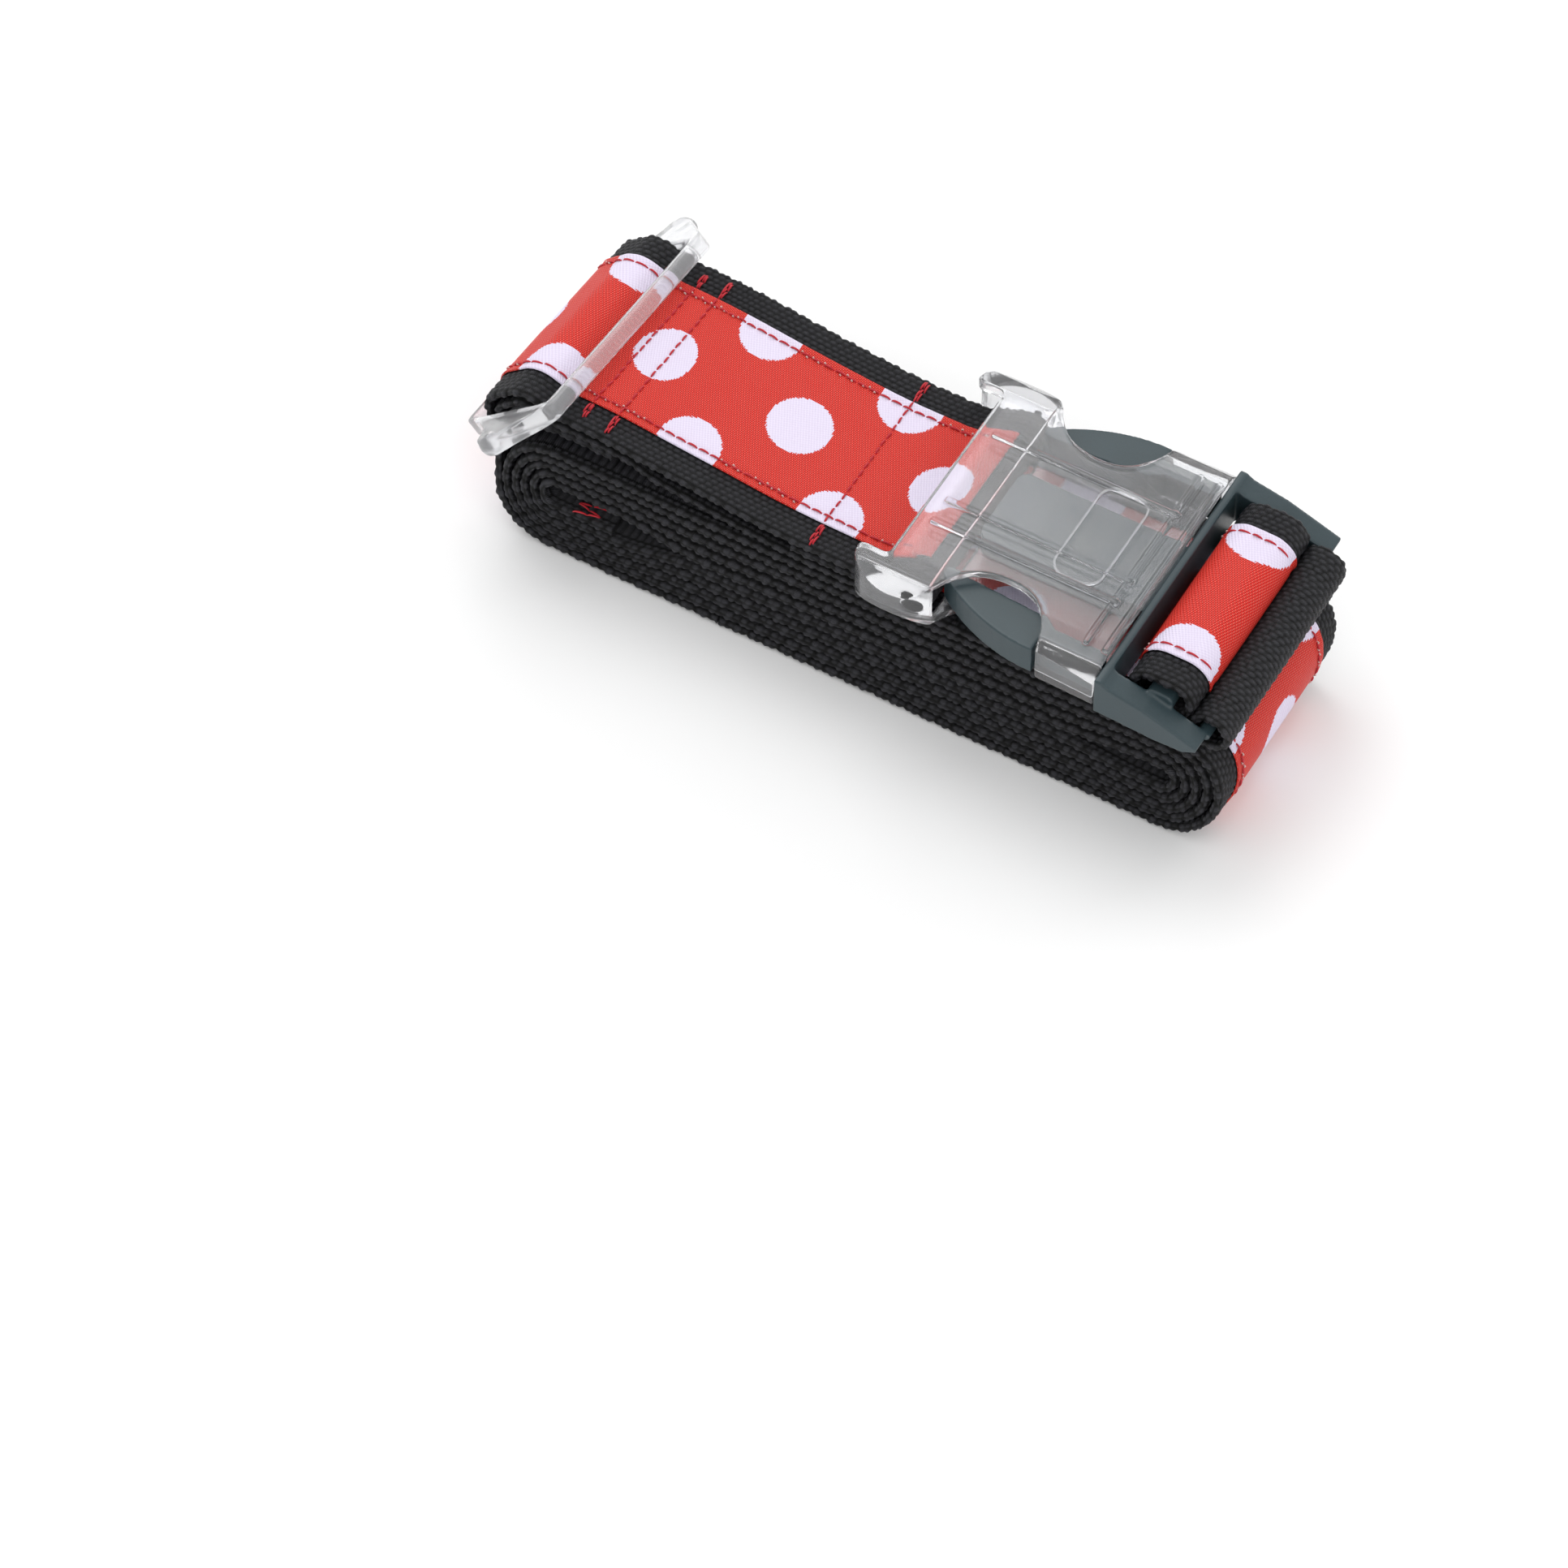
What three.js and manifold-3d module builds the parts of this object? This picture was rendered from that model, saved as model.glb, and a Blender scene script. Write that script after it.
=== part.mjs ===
// Luggage strap, wound up for storage: a long webbing strap with a decorative ribbon, rolled flat,
// a three-bar slider, a short link strap and a side-release buckle lying closed on top of the roll.
// Millimetres, +Z up, X along the roll, Y across the webbing. The part rests on z = 0.

import * as THREE from 'three';
import { mergeVertices } from 'three/addons/utils/BufferGeometryUtils.js';
import Module from 'manifold-3d';

const wasm = await Module();
wasm.setup();

// ---------------------------------------------------------------- driving dimensions

const WEB_WIDTH = 50;
const WEB = 1.7; // webbing thickness
const RIBBON_WIDTH = 36.5;
const RIBBON = 0.3; // ribbon thickness
const RIBBON_GAP = 0.15; // between webbing and ribbon
const CLEAR = 0.3; // between neighbouring pieces
const THREAD = 0.3; // sewing thread

const LAYER = 2.4; // pitch of the layers in the roll
const EYE_RADIUS = 1.8; // innermost turn of the roll
const TURNS = 5; // whole turns of the roll
const ROLL_RUN = 141; // between the turning centres at the two ends
const TAIL_RUN = 14; // free end lying inside the innermost turn

const BUCKLE_X = 77; // webbing end of the female buckle, from the left turning centre
const BUCKLE_LENGTH = 50;
const BUCKLE_HEIGHT = 12.8;

const SLIDER_TILT = 42 * Math.PI / 180;
const SLIDER_PITCH = 12.8; // from the slider's centre bar to its right bar
const SLIDER_X = -1; // right bar of the slider
const BAR_RADIUS = 2.4; // right bar of the slider

const CENTRE_X = 66.262; // from the left turning centre to the middle of the whole object

// ---------------------------------------------------------------- worked-out levels

const HALF = WEB / 2;
const SKIN = HALF + RIBBON_GAP + RIBBON; // from the middle of the webbing to the face of its ribbon
const RIGHT_RADIUS = EYE_RADIUS + LAYER / 2; // innermost turn at the right end
const ROLL_RADIUS = RIGHT_RADIUS + (TURNS - 1) * LAYER; // outermost turn at the right end
const RIGHT_Z = ROLL_RADIUS + SKIN; // turning centre at the right end
const LEFT_Z = RIGHT_Z + LAYER / 2; // turning centre at the left end
const ROLL_TOP = RIGHT_Z + ROLL_RADIUS + SKIN;
const LINK_Z = ROLL_TOP + CLEAR + HALF; // link strap lying on the roll
const LINK_TOP = LINK_Z + SKIN;
const STEP_UP = WEB + CLEAR; // one webbing layer folded back under another
const RETURN_Z = LINK_TOP + CLEAR + HALF; // end of the main strap folded back under the band
const BAND_Z = RETURN_Z + STEP_UP; // band between slider and buckle
const BAND_TOP = BAND_Z + SKIN;
const BUCKLE_Z = LINK_TOP + 0.35; // underside of the buckle
const BUCKLE_END = BUCKLE_X + BUCKLE_LENGTH; // mouth of the female buckle
const BUCKLE_TOP = BUCKLE_Z + BUCKLE_HEIGHT;

// The slider lies tilted at the left shoulder of the roll, its right bar just above the band.
const SLIDER_ALONG = new THREE.Vector2(Math.cos(SLIDER_TILT), Math.sin(SLIDER_TILT));
const RIGHT_BAR = new THREE.Vector2(SLIDER_X, BAND_TOP + CLEAR + 0.1 + BAR_RADIUS);
const CENTRE_BAR = RIGHT_BAR.clone().addScaledVector(SLIDER_ALONG, -SLIDER_PITCH);

// ---------------------------------------------------------------- booleans

function toManifold(geometry) {
  const bare = geometry.clone();
  bare.deleteAttribute('normal');
  bare.deleteAttribute('uv');
  const merged = mergeVertices(bare, 1e-4);
  return new wasm.Manifold(new wasm.Mesh({
    numProp: 3,
    vertProperties: new Float32Array(merged.attributes.position.array),
    triVerts: new Uint32Array(merged.index.array),
  }));
}

function toGeometry(solid) {
  const mesh = solid.getMesh();
  const geometry = new THREE.BufferGeometry();
  geometry.setAttribute('position', new THREE.BufferAttribute(new Float32Array(mesh.vertProperties), 3));
  geometry.setIndex(new THREE.BufferAttribute(new Uint32Array(mesh.triVerts), 1));
  return geometry;
}

const join = (first, ...rest) => rest.reduce((whole, piece) => whole.add(piece), first);
const cut = (first, ...rest) => rest.reduce((whole, piece) => whole.subtract(piece), first);

function box(low, high) {
  const size = high.map((value, i) => value - low[i]);
  const middle = high.map((value, i) => (value + low[i]) / 2);
  return new THREE.BoxGeometry(...size).translate(...middle);
}

// ---------------------------------------------------------------- extrusions

const extruded = (shape, depth, curveSegments = 8) => (
  new THREE.ExtrudeGeometry(shape, { depth, bevelEnabled: false, curveSegments })
);

// A shape drawn in X and Z, extruded across the webbing and centred on y = 0.
function acrossY(shape, width, curveSegments = 8) {
  return extruded(shape, width, curveSegments).rotateX(Math.PI / 2).translate(0, width / 2, 0);
}

// A plan shape drawn in X and Y, extruded from z = low to z = high.
function upZ(shape, low, high, curveSegments = 8) {
  return extruded(shape, high - low, curveSegments).translate(0, 0, low);
}

// A section drawn in Y and Z, extruded from x = low to x = high.
function alongX(shape, low, high) {
  return extruded(shape, high - low).rotateX(Math.PI / 2).rotateZ(Math.PI / 2).translate(low, 0, 0);
}

function polygon(points) {
  return new THREE.Shape(points.map(([x, y]) => new THREE.Vector2(x, y)));
}

// A plan that is the same on both sides of y = 0, from a start on its +Y side and the curves and
// straight lines that follow. Each step is a list of points: two control points and an end, or an end.
function mirroredPlan(start, steps, divisions) {
  const half = new THREE.Path();
  half.moveTo(...start);
  for (const step of steps) {
    if (step.length === 1) {
      half.lineTo(...step[0]);
    } else {
      half.bezierCurveTo(...step.flat());
    }
  }
  const side = half.getPoints(divisions);
  const other = side.map((point) => new THREE.Vector2(point.x, -point.y)).reverse();
  return new THREE.Shape([...side, ...other]);
}

function roundedRectangle(x0, y0, x1, y1, r) {
  const shape = new THREE.Shape();
  shape.moveTo(x0 + r, y0);
  shape.lineTo(x1 - r, y0);
  shape.absarc(x1 - r, y0 + r, r, -Math.PI / 2, 0, false);
  shape.lineTo(x1, y1 - r);
  shape.absarc(x1 - r, y1 - r, r, 0, Math.PI / 2, false);
  shape.lineTo(x0 + r, y1);
  shape.absarc(x0 + r, y1 - r, r, Math.PI / 2, Math.PI, false);
  shape.lineTo(x0, y0 + r);
  shape.absarc(x0 + r, y0 + r, r, Math.PI, 1.5 * Math.PI, false);
  return shape;
}

// ---------------------------------------------------------------- strap routes

// A strap runs like a belt over round stops. A stop is a centre, a radius and a sense: +1 turns left,
// -1 turns right, and a free end is a stop of radius 0. The route is a list of points, each with its
// unit normal to the left of the run.
const stop = (x, z, radius = 0, sense = 1) => ({ at: new THREE.Vector2(x, z), radius, sense });
const STEP_ANGLE = Math.PI / 10;

function tangent(a, b) {
  const between = b.at.clone().sub(a.at);
  const distance = between.length();
  const ra = a.radius * a.sense;
  const rb = b.radius * b.sense;
  const lean = Math.asin((ra - rb) / distance);
  const heading = Math.atan2(between.y, between.x) + lean;
  const right = new THREE.Vector2(Math.sin(heading), -Math.cos(heading));
  return {
    heading,
    from: a.at.clone().addScaledVector(right, ra),
    to: b.at.clone().addScaledVector(right, rb),
  };
}

function route(stops) {
  const points = [];
  const add = (point, heading) => points.push({
    point,
    normal: new THREE.Vector2(-Math.sin(heading), Math.cos(heading)),
  });
  let before = null;
  for (let i = 0; i + 1 < stops.length; i += 1) {
    const run = tangent(stops[i], stops[i + 1]);
    const { at, radius, sense } = stops[i];
    if (before && radius > 0) {
      let turn = (run.heading - before.heading) * sense;
      while (turn < -1e-6) turn += 2 * Math.PI;
      while (turn > 2 * Math.PI - 1e-6) turn -= 2 * Math.PI;
      const steps = Math.max(1, Math.ceil(turn / STEP_ANGLE));
      for (let k = 0; k <= steps; k += 1) {
        const heading = before.heading + sense * turn * k / steps;
        const right = new THREE.Vector2(Math.sin(heading), -Math.cos(heading));
        add(at.clone().addScaledVector(right, radius * sense), heading);
      }
    } else {
      add(run.from, run.heading);
    }
    before = run;
  }
  add(before.to, before.heading);
  return points;
}

// A closed outline between two offsets to the left of the route.
function ribbonOf(points, inner, outer, width) {
  const side = (offset) => points.map(({ point, normal }) => point.clone().addScaledVector(normal, offset));
  return acrossY(new THREE.Shape([...side(inner), ...side(outer).reverse()]), width);
}

const webbing = (stops) => ribbonOf(route(stops), -HALF, HALF, WEB_WIDTH);
const ribbon = (stops) => ribbonOf(route(stops), HALF + RIBBON_GAP, SKIN, RIBBON_WIDTH);

// ---------------------------------------------------------------- main strap

const BAR_HALF = 2.5; // half the flat of the slider's centre bar
const BAR_THICKNESS = 3;
const WRAP = BAR_THICKNESS / 2 + CLEAR + HALF; // link strap round the centre bar
const OVER = WRAP + WEB + CLEAR; // main strap over the link strap's wrap
const BAR_LEFT = CENTRE_BAR.clone().addScaledVector(SLIDER_ALONG, -BAR_HALF);
const BAR_RIGHT = CENTRE_BAR.clone().addScaledVector(SLIDER_ALONG, BAR_HALF);

function rollStops() {
  const stops = [stop(TAIL_RUN, LEFT_Z - EYE_RADIUS)];
  for (let turn = 0; turn < TURNS; turn += 1) {
    stops.push(stop(0, LEFT_Z, EYE_RADIUS + turn * LAYER, -1));
    stops.push(stop(ROLL_RUN, RIGHT_Z, RIGHT_RADIUS + turn * LAYER, -1));
  }
  return stops;
}

const OUTER_LEFT = EYE_RADIUS + TURNS * LAYER;
const ROLL_END = 40; // where the bottom run of the roll becomes the band's run

const FEMALE_BAR = new THREE.Vector2(BUCKLE_X + 6.5, RETURN_Z + 2.95);
const FEMALE_BAR_RADIUS = 1.8;
const RETURN_END = 55; // end of the strap folded back under the band
const RISE_X = 71; // bend where the band rises to the buckle's bar
const RISE = 15;

const bandStops = [
  stop(ROLL_END - CLEAR, RIGHT_Z - ROLL_RADIUS),
  stop(0, LEFT_Z, OUTER_LEFT, -1),
  stop(BAR_LEFT.x, BAR_LEFT.y, OVER, -1),
  stop(BAR_RIGHT.x, BAR_RIGHT.y, OVER, -1),
  stop(RIGHT_BAR.x, RIGHT_BAR.y, RIGHT_BAR.y - BAND_Z, 1),
  stop(RISE_X, BAND_Z + RISE, RISE, 1),
  stop(FEMALE_BAR.x, FEMALE_BAR.y, FEMALE_BAR_RADIUS + CLEAR + HALF, -1),
];
const RIBBON_END = stop(FEMALE_BAR.x - 0.5, FEMALE_BAR.y + FEMALE_BAR_RADIUS + CLEAR + HALF);
const rollRoute = [...rollStops(), stop(ROLL_END, RIGHT_Z - ROLL_RADIUS)];

// ---------------------------------------------------------------- link strap

const MALE_BAR = new THREE.Vector2(BUCKLE_END + 12.5, RETURN_Z + 6.6);
const MALE_BAR_HALF = 2; // half the flat that the loop rides on
const LOOP_RADIUS = 4.1;
const UNDER_LOOP = LOOP_RADIUS + WEB + CLEAR;
const LINK_SPLIT = BUCKLE_END + 14.5; // where the link strap starts to move with the plug
const UPPER_RUN_Z = LINK_Z + 7.9; // link strap over the outer bar of the male buckle
const BEND_RADIUS = (UPPER_RUN_Z - LINK_Z) / 2;
const BEND_X = BUCKLE_END + 23.2;
const OUTER_BAR = new THREE.Vector2(BUCKLE_END + 22.5, LINK_Z + 4.3);
const OUTER_BAR_RADIUS = 1.5;
const LINK_RETURN_END = 12;
const EASE = 10; // gentle bends where one strap settles off another

const linkLowerStops = [
  stop(LINK_RETURN_END, LINK_Z),
  stop(0, LEFT_Z, LINK_Z - LEFT_Z, 1),
  stop(BAR_LEFT.x, BAR_LEFT.y, WRAP, -1),
  stop(BAR_RIGHT.x, BAR_RIGHT.y, WRAP, -1),
  stop(RIGHT_BAR.x, RIGHT_BAR.y, RIGHT_BAR.y - LINK_Z - STEP_UP, 1),
  stop(LINK_RETURN_END + 2, LINK_Z + STEP_UP - EASE, EASE, -1),
  stop(LINK_RETURN_END + 12, LINK_Z + EASE, EASE, 1),
  stop(LINK_SPLIT - CLEAR, LINK_Z),
];

const linkUpperStops = [
  stop(LINK_SPLIT, LINK_Z),
  stop(BEND_X, LINK_Z + BEND_RADIUS, BEND_RADIUS, 1),
  stop(MALE_BAR.x + MALE_BAR_HALF, MALE_BAR.y, UNDER_LOOP, -1),
  stop(MALE_BAR.x - MALE_BAR_HALF, MALE_BAR.y - STEP_UP / 2, LOOP_RADIUS + STEP_UP / 2, -1),
  stop(MALE_BAR.x + MALE_BAR_HALF, MALE_BAR.y, LOOP_RADIUS, -1),
];
const LOOP_END = stop(MALE_BAR.x - MALE_BAR_HALF - 1, MALE_BAR.y - LOOP_RADIUS);

// ---------------------------------------------------------------- sewing

const SEAM_WIDTH = 0.6;
const SEAM_Z = BAND_TOP + RIBBON_GAP;
const CROSS_Z = SEAM_Z + THREAD + RIBBON_GAP;
const EDGE_SEAM_Y = RIBBON_WIDTH / 2 - 2;
const EDGE_SEAM_FROM = 3;
const EDGE_SEAM_TO = RETURN_END + 12;
const HEM_FROM = TAIL_RUN - 8;
const HEM_TO = TAIL_RUN - 3;
const SLIDER_SEAM_LEFT = 4.5;
const SLIDER_SEAM_RIGHT = 9.5;
const BUCKLE_SEAM = RETURN_END + 4;

function edgeSeam(side) {
  const y = side * EDGE_SEAM_Y;
  return box(
    [EDGE_SEAM_FROM, y - SEAM_WIDTH / 2, SEAM_Z],
    [EDGE_SEAM_TO, y + SEAM_WIDTH / 2, SEAM_Z + THREAD],
  );
}

function crossSeam(x, width) {
  return box(
    [x - SEAM_WIDTH / 2, -width / 2, CROSS_Z],
    [x + SEAM_WIDTH / 2, width / 2, CROSS_Z + THREAD],
  );
}

// Sewing on the inner face of a strap, short of its edges by a margin.
function innerSeam(from, to, face, margin) {
  const half = WEB_WIDTH / 2 - margin;
  return box([from, -half, face + RIBBON_GAP], [to, half, face + RIBBON_GAP + THREAD]);
}

// ---------------------------------------------------------------- slider

const SLIDER_LEFT = 13.9; // from the centre bar to the left edge
const SLIDER_BAR_END = 25.5; // where the right bar turns into the ends
const SLIDER_TIP = 36.6; // half length over the two tips
const SLIDER_SLOT = WEB_WIDTH / 2 + 1.2;
const SLIDER_BEVEL = 1.3;

// Drawn flat: X across the bars, Y along them, then tilted about the centre bar.
function slider() {
  const reach = SLIDER_PITCH + BAR_RADIUS;
  const outline = mirroredPlan([reach, SLIDER_BAR_END], [
    [[reach, SLIDER_BAR_END + 2.6], [9, SLIDER_TIP - 5], [4, SLIDER_TIP - 1.6]],
    [[2.2, SLIDER_TIP], [-1.2, SLIDER_TIP], [-2.4, SLIDER_TIP - 2.2]],
    [[-3.4, SLIDER_TIP - 5], [-8, SLIDER_SLOT + 3.2], [1 - SLIDER_LEFT, SLIDER_SLOT + 1.4]],
    [[-SLIDER_LEFT, SLIDER_BAR_END]],
  ], 6);
  const plate = toManifold(upZ(outline, -BAR_RADIUS, BAR_RADIUS));
  const inside = SLIDER_PITCH - BAR_RADIUS;
  const slots = roundedRectangle(-inside, -SLIDER_SLOT, inside, SLIDER_SLOT, 0.8);
  const bar = roundedRectangle(
    -BAR_HALF - 0.5, -BAR_THICKNESS / 2, BAR_HALF + 0.5, BAR_THICKNESS / 2, 1.2,
  );
  const centre = toManifold(acrossY(bar, 2 * SLIDER_SLOT + 4, 4));
  // Both outer bars lose the long corners beside the strap, and the right bar its outer ones too.
  const corners = [];
  for (const up of [-1, 1]) {
    const face = up * (BAR_RADIUS + 0.1);
    const low = up * (BAR_RADIUS - SLIDER_BEVEL);
    const outer = [[reach + 0.1, face], [reach - SLIDER_BEVEL, face], [reach + 0.1, low]];
    corners.push(toManifold(acrossY(polygon(outer), 2 * SLIDER_TIP)));
    for (const side of [-1, 1]) {
      const inner = [[inside - 0.1, face], [inside + SLIDER_BEVEL, face], [inside - 0.1, low]];
      const placed = inner.map(([x, z]) => [side * x, z]);
      corners.push(toManifold(acrossY(polygon(placed), 2 * SLIDER_SLOT)));
    }
  }
  const hollow = cut(plate, toManifold(upZ(slots, -10, 10, 4)), ...corners);
  return toGeometry(join(hollow, centre));
}

// ---------------------------------------------------------------- female buckle

const MOUTH_HALF = 30.3;
const END_HALF = 23; // half width at the strap's end, between the ears
const EAR_HALF = 30.6;
const EAR_REACH = 6.5;
const WINDOW_FROM = BUCKLE_END - 38;
const WINDOW_TO = BUCKLE_END - 13.7;
const WINDOW_HALF = 18; // half width between the two finger windows
const WINDOW_DEPTH = 15; // how close to the middle the windows' cut starts
const WALL = 1.9;
const SHOULDER_HALF = 26.6; // half width of the socket beyond the windows
const BACK_WALL = BUCKLE_X + 10.5;
const STRAP_SLOT_HALF = WEB_WIDTH / 2 + 0.6;
const STRAP_SLOT_TOP = BUCKLE_TOP - 3.2;
const RIB_ROWS = [12.6, -6.8, -12.7];
const RIB_WIDTH = 1;
const RIB_HEIGHT = 0.4;
const BEYOND = 20; // how far a cutting shape stands past what it cuts

// Plan of the female buckle: an ear at each side of the strap's end, then a concave finger window.
function femalePlan() {
  const x = BUCKLE_X;
  const ear = x - EAR_REACH;
  return mirroredPlan([x, END_HALF], [
    [[x - 0.5, END_HALF + 2], [ear + 1, END_HALF - 0.5], [ear, END_HALF + 1.5]],
    [[ear - 0.6, END_HALF + 5.5], [x - 1, EAR_HALF], [x + 3, EAR_HALF]],
    [[x + 8, EAR_HALF], [x + 10, EAR_HALF - 1.5], [WINDOW_FROM, EAR_HALF - 4.2]],
    [[WINDOW_FROM + 3, WINDOW_HALF + 2], [WINDOW_FROM + 7, WINDOW_HALF], [WINDOW_FROM + 13, WINDOW_HALF]],
    [[WINDOW_TO - 5, WINDOW_HALF], [WINDOW_TO - 1, WINDOW_HALF + 4], [WINDOW_TO, MOUTH_HALF - 1]],
    [[BUCKLE_END, MOUTH_HALF]],
  ], 7);
}

// Section of the female buckle: a flat top and bottom with sloping sides.
function femaleSection() {
  const wide = EAR_HALF + CLEAR;
  const right = [
    [wide - 3.5, BUCKLE_Z], [wide, BUCKLE_Z + 3.5],
    [wide, BUCKLE_TOP - 4.5], [wide - 3, BUCKLE_TOP - 1.2], [wide - 9, BUCKLE_TOP],
  ];
  const left = right.map(([y, z]) => [-y, z]).reverse();
  return polygon([...right, ...left]);
}

function femaleBuckle() {
  const section = alongX(femaleSection(), BUCKLE_X - BEYOND, BUCKLE_END + BEYOND);
  const outer = toManifold(upZ(femalePlan(), BUCKLE_Z, BUCKLE_TOP)).intersect(toManifold(section));
  const floor = BUCKLE_Z + WALL;
  const ceiling = BUCKLE_TOP - WALL;
  const socket = box([BACK_WALL, -SHOULDER_HALF, floor], [BUCKLE_END + 1, SHOULDER_HALF, ceiling]);
  const windows = [-1, 1].map((side) => {
    const ys = [side * WINDOW_DEPTH, side * (EAR_HALF + BEYOND)];
    return box(
      [WINDOW_FROM + 1, Math.min(...ys), floor],
      [WINDOW_TO - 0.2, Math.max(...ys), ceiling],
    );
  });
  // The strap enters under the top wall, between the ears, and turns round the bar.
  const strapSlot = box(
    [BUCKLE_X - BEYOND, -STRAP_SLOT_HALF, BUCKLE_Z - 1],
    [BACK_WALL + 0.5, STRAP_SLOT_HALF, STRAP_SLOT_TOP],
  );
  const round = new THREE.Shape().absarc(FEMALE_BAR.x, FEMALE_BAR.y, FEMALE_BAR_RADIUS, 0, 2 * Math.PI);
  const bar = acrossY(round, WEB_WIDTH + 4, 4);
  const ribs = RIB_ROWS.map((y) => box(
    [BUCKLE_X + 5, y - RIB_WIDTH / 2, BUCKLE_TOP - RIB_HEIGHT],
    [BUCKLE_END - 3, y + RIB_WIDTH / 2, BUCKLE_TOP + RIB_HEIGHT],
  ));
  const hollow = cut(outer, ...[socket, ...windows, strapSlot].map(toManifold));
  return toGeometry(join(hollow, ...[bar, ...ribs].map(toManifold)));
}

// ---------------------------------------------------------------- male buckle

const MALE_LOW = BUCKLE_Z + WALL + 0.6;
const MALE_HIGH = BUCKLE_TOP - WALL - 0.6;
const PLATE_X = BUCKLE_END + CLEAR;
const PLATE = 1.8; // shoulder plate that closes the mouth
const RAIL_INNER = WEB_WIDTH / 2 + 0.7;
const RAIL_OUTER = RAIL_INNER + 5;
const RAIL_END = PLATE_X + 24.5;
const BAR_SPAN = 2 * RAIL_INNER + 0.6; // bars between the rails, let into them
const TONGUE_HALF = 9.5;
const TONGUE_THICKNESS = 6;
const ARM_PIVOT_X = BUCKLE_END - 2;
const ARM_PIVOT_Y = 24;

// Side view of a rail: its top slopes down from the shoulder plate to the tip.
function railSide() {
  return polygon([
    [PLATE_X + PLATE - 0.5, MALE_LOW - 1], [PLATE_X + 13, MALE_LOW - 1.7], [PLATE_X + 21, MALE_LOW - 1.5],
    [RAIL_END - 0.3, MALE_LOW + 0.2], [RAIL_END, MALE_LOW + 1.6], [PLATE_X + 18, MALE_HIGH - 3.4],
    [PLATE_X + 11, MALE_HIGH - 1.2], [PLATE_X + PLATE + 1.5, MALE_HIGH - 0.2],
    [PLATE_X + PLATE - 0.5, MALE_HIGH + 1],
  ]);
}

function maleFrame() {
  const plate = box(
    [PLATE_X, -RAIL_OUTER, MALE_LOW - 1],
    [PLATE_X + PLATE, RAIL_OUTER, MALE_HIGH + 1],
  );
  const rails = [-1, 1].map((side) => acrossY(railSide(), RAIL_OUTER - RAIL_INNER)
    .translate(0, side * (RAIL_INNER + RAIL_OUTER) / 2, 0));
  const bar = roundedRectangle(MALE_BAR.x - 3, MALE_BAR.y - 2, MALE_BAR.x + 3, MALE_BAR.y + 2, 1.5);
  const outerBar = new THREE.Shape().absarc(OUTER_BAR.x, OUTER_BAR.y, OUTER_BAR_RADIUS, 0, 2 * Math.PI);
  const tongue = roundedRectangle(BUCKLE_X + 12, -TONGUE_HALF, PLATE_X + 3, TONGUE_HALF, 2.5);
  const middle = (MALE_LOW + MALE_HIGH) / 2;
  const beyondPlate = box([PLATE_X + PLATE - 0.2, -BEYOND, 0], [PLATE_X + 9, BEYOND, 80]);
  const tongueSolid = toManifold(
    upZ(tongue, middle - TONGUE_THICKNESS / 2, middle + TONGUE_THICKNESS / 2, 4),
  );
  return toGeometry(join(
    toManifold(plate),
    ...rails.map(toManifold),
    toManifold(acrossY(bar, BAR_SPAN, 4)),
    toManifold(acrossY(outerBar, BAR_SPAN, 5)),
    cut(tongueSolid, toManifold(beyondPlate)),
  ));
}

// One latch arm, drawn for the +Y side: a thin beam from its root with a press tab at the window.
function latchArm(side) {
  const tip = WINDOW_FROM - 0.5;
  const shoulder = WINDOW_TO - 0.8;
  const beam = 1.5;
  const x = ARM_PIVOT_X;
  const y = ARM_PIVOT_Y;
  const shape = new THREE.Shape();
  shape.moveTo(x, y + beam);
  shape.lineTo(shoulder, y + beam);
  shape.lineTo(shoulder, SHOULDER_HALF + 2.7);
  shape.bezierCurveTo(shoulder - 8, SHOULDER_HALF + 3.2, tip + 6, SHOULDER_HALF - 0.5, tip, 21.4);
  shape.bezierCurveTo(tip - 1, 20.4, tip - 0.4, 19.4, tip + 1.5, 19.4);
  shape.lineTo(shoulder - 1, 20.5);
  shape.lineTo(shoulder + 2, y - beam);
  shape.lineTo(x, y - beam);
  shape.absarc(x, y, beam, -Math.PI / 2, Math.PI / 2, false);
  const arm = toManifold(upZ(shape, MALE_LOW + 0.3, MALE_HIGH - 0.3, 7));
  return toGeometry(side > 0 ? arm : arm.mirror([0, 1, 0]));
}

// ---------------------------------------------------------------- the object

const LOOKS = {
  webbing: { color: 0x17181a, roughness: 0.85, metalness: 0 },
  ribbon: { color: 0xd7322a, roughness: 0.55, metalness: 0 },
  thread: { color: 0xc01f2c, roughness: 0.6, metalness: 0 },
  clear: { color: 0xe6e8ee, roughness: 0.2, metalness: 0 },
  charcoal: { color: 0x3c4b50, roughness: 0.45, metalness: 0 },
};

const object = new THREE.Group();
object.position.x = -CENTRE_X;

function piece(name, look, geometry, parent = object) {
  const mesh = new THREE.Mesh(geometry, new THREE.MeshStandardMaterial(LOOKS[look]));
  mesh.name = name;
  parent.add(mesh);
}

piece('main_roll_webbing', 'webbing', webbing(rollRoute));
piece('main_roll_ribbon', 'ribbon', ribbon(rollRoute));
piece('main_band_webbing', 'webbing', webbing([...bandStops, stop(RETURN_END, RETURN_Z)]));
piece('main_band_ribbon', 'ribbon', ribbon([...bandStops.slice(0, -1), RIBBON_END]));
piece('link_lower_webbing', 'webbing', webbing(linkLowerStops));
piece('link_lower_ribbon', 'ribbon', ribbon([stop(4, LINK_Z + STEP_UP), ...linkLowerStops.slice(5)]));
piece('link_upper_webbing', 'webbing', webbing([...linkUpperStops, LOOP_END]));
piece('link_upper_ribbon', 'ribbon', ribbon([
  ...linkUpperStops,
  stop(MALE_BAR.x + MALE_BAR_HALF + LOOP_RADIUS, MALE_BAR.y - 1),
]));

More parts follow.
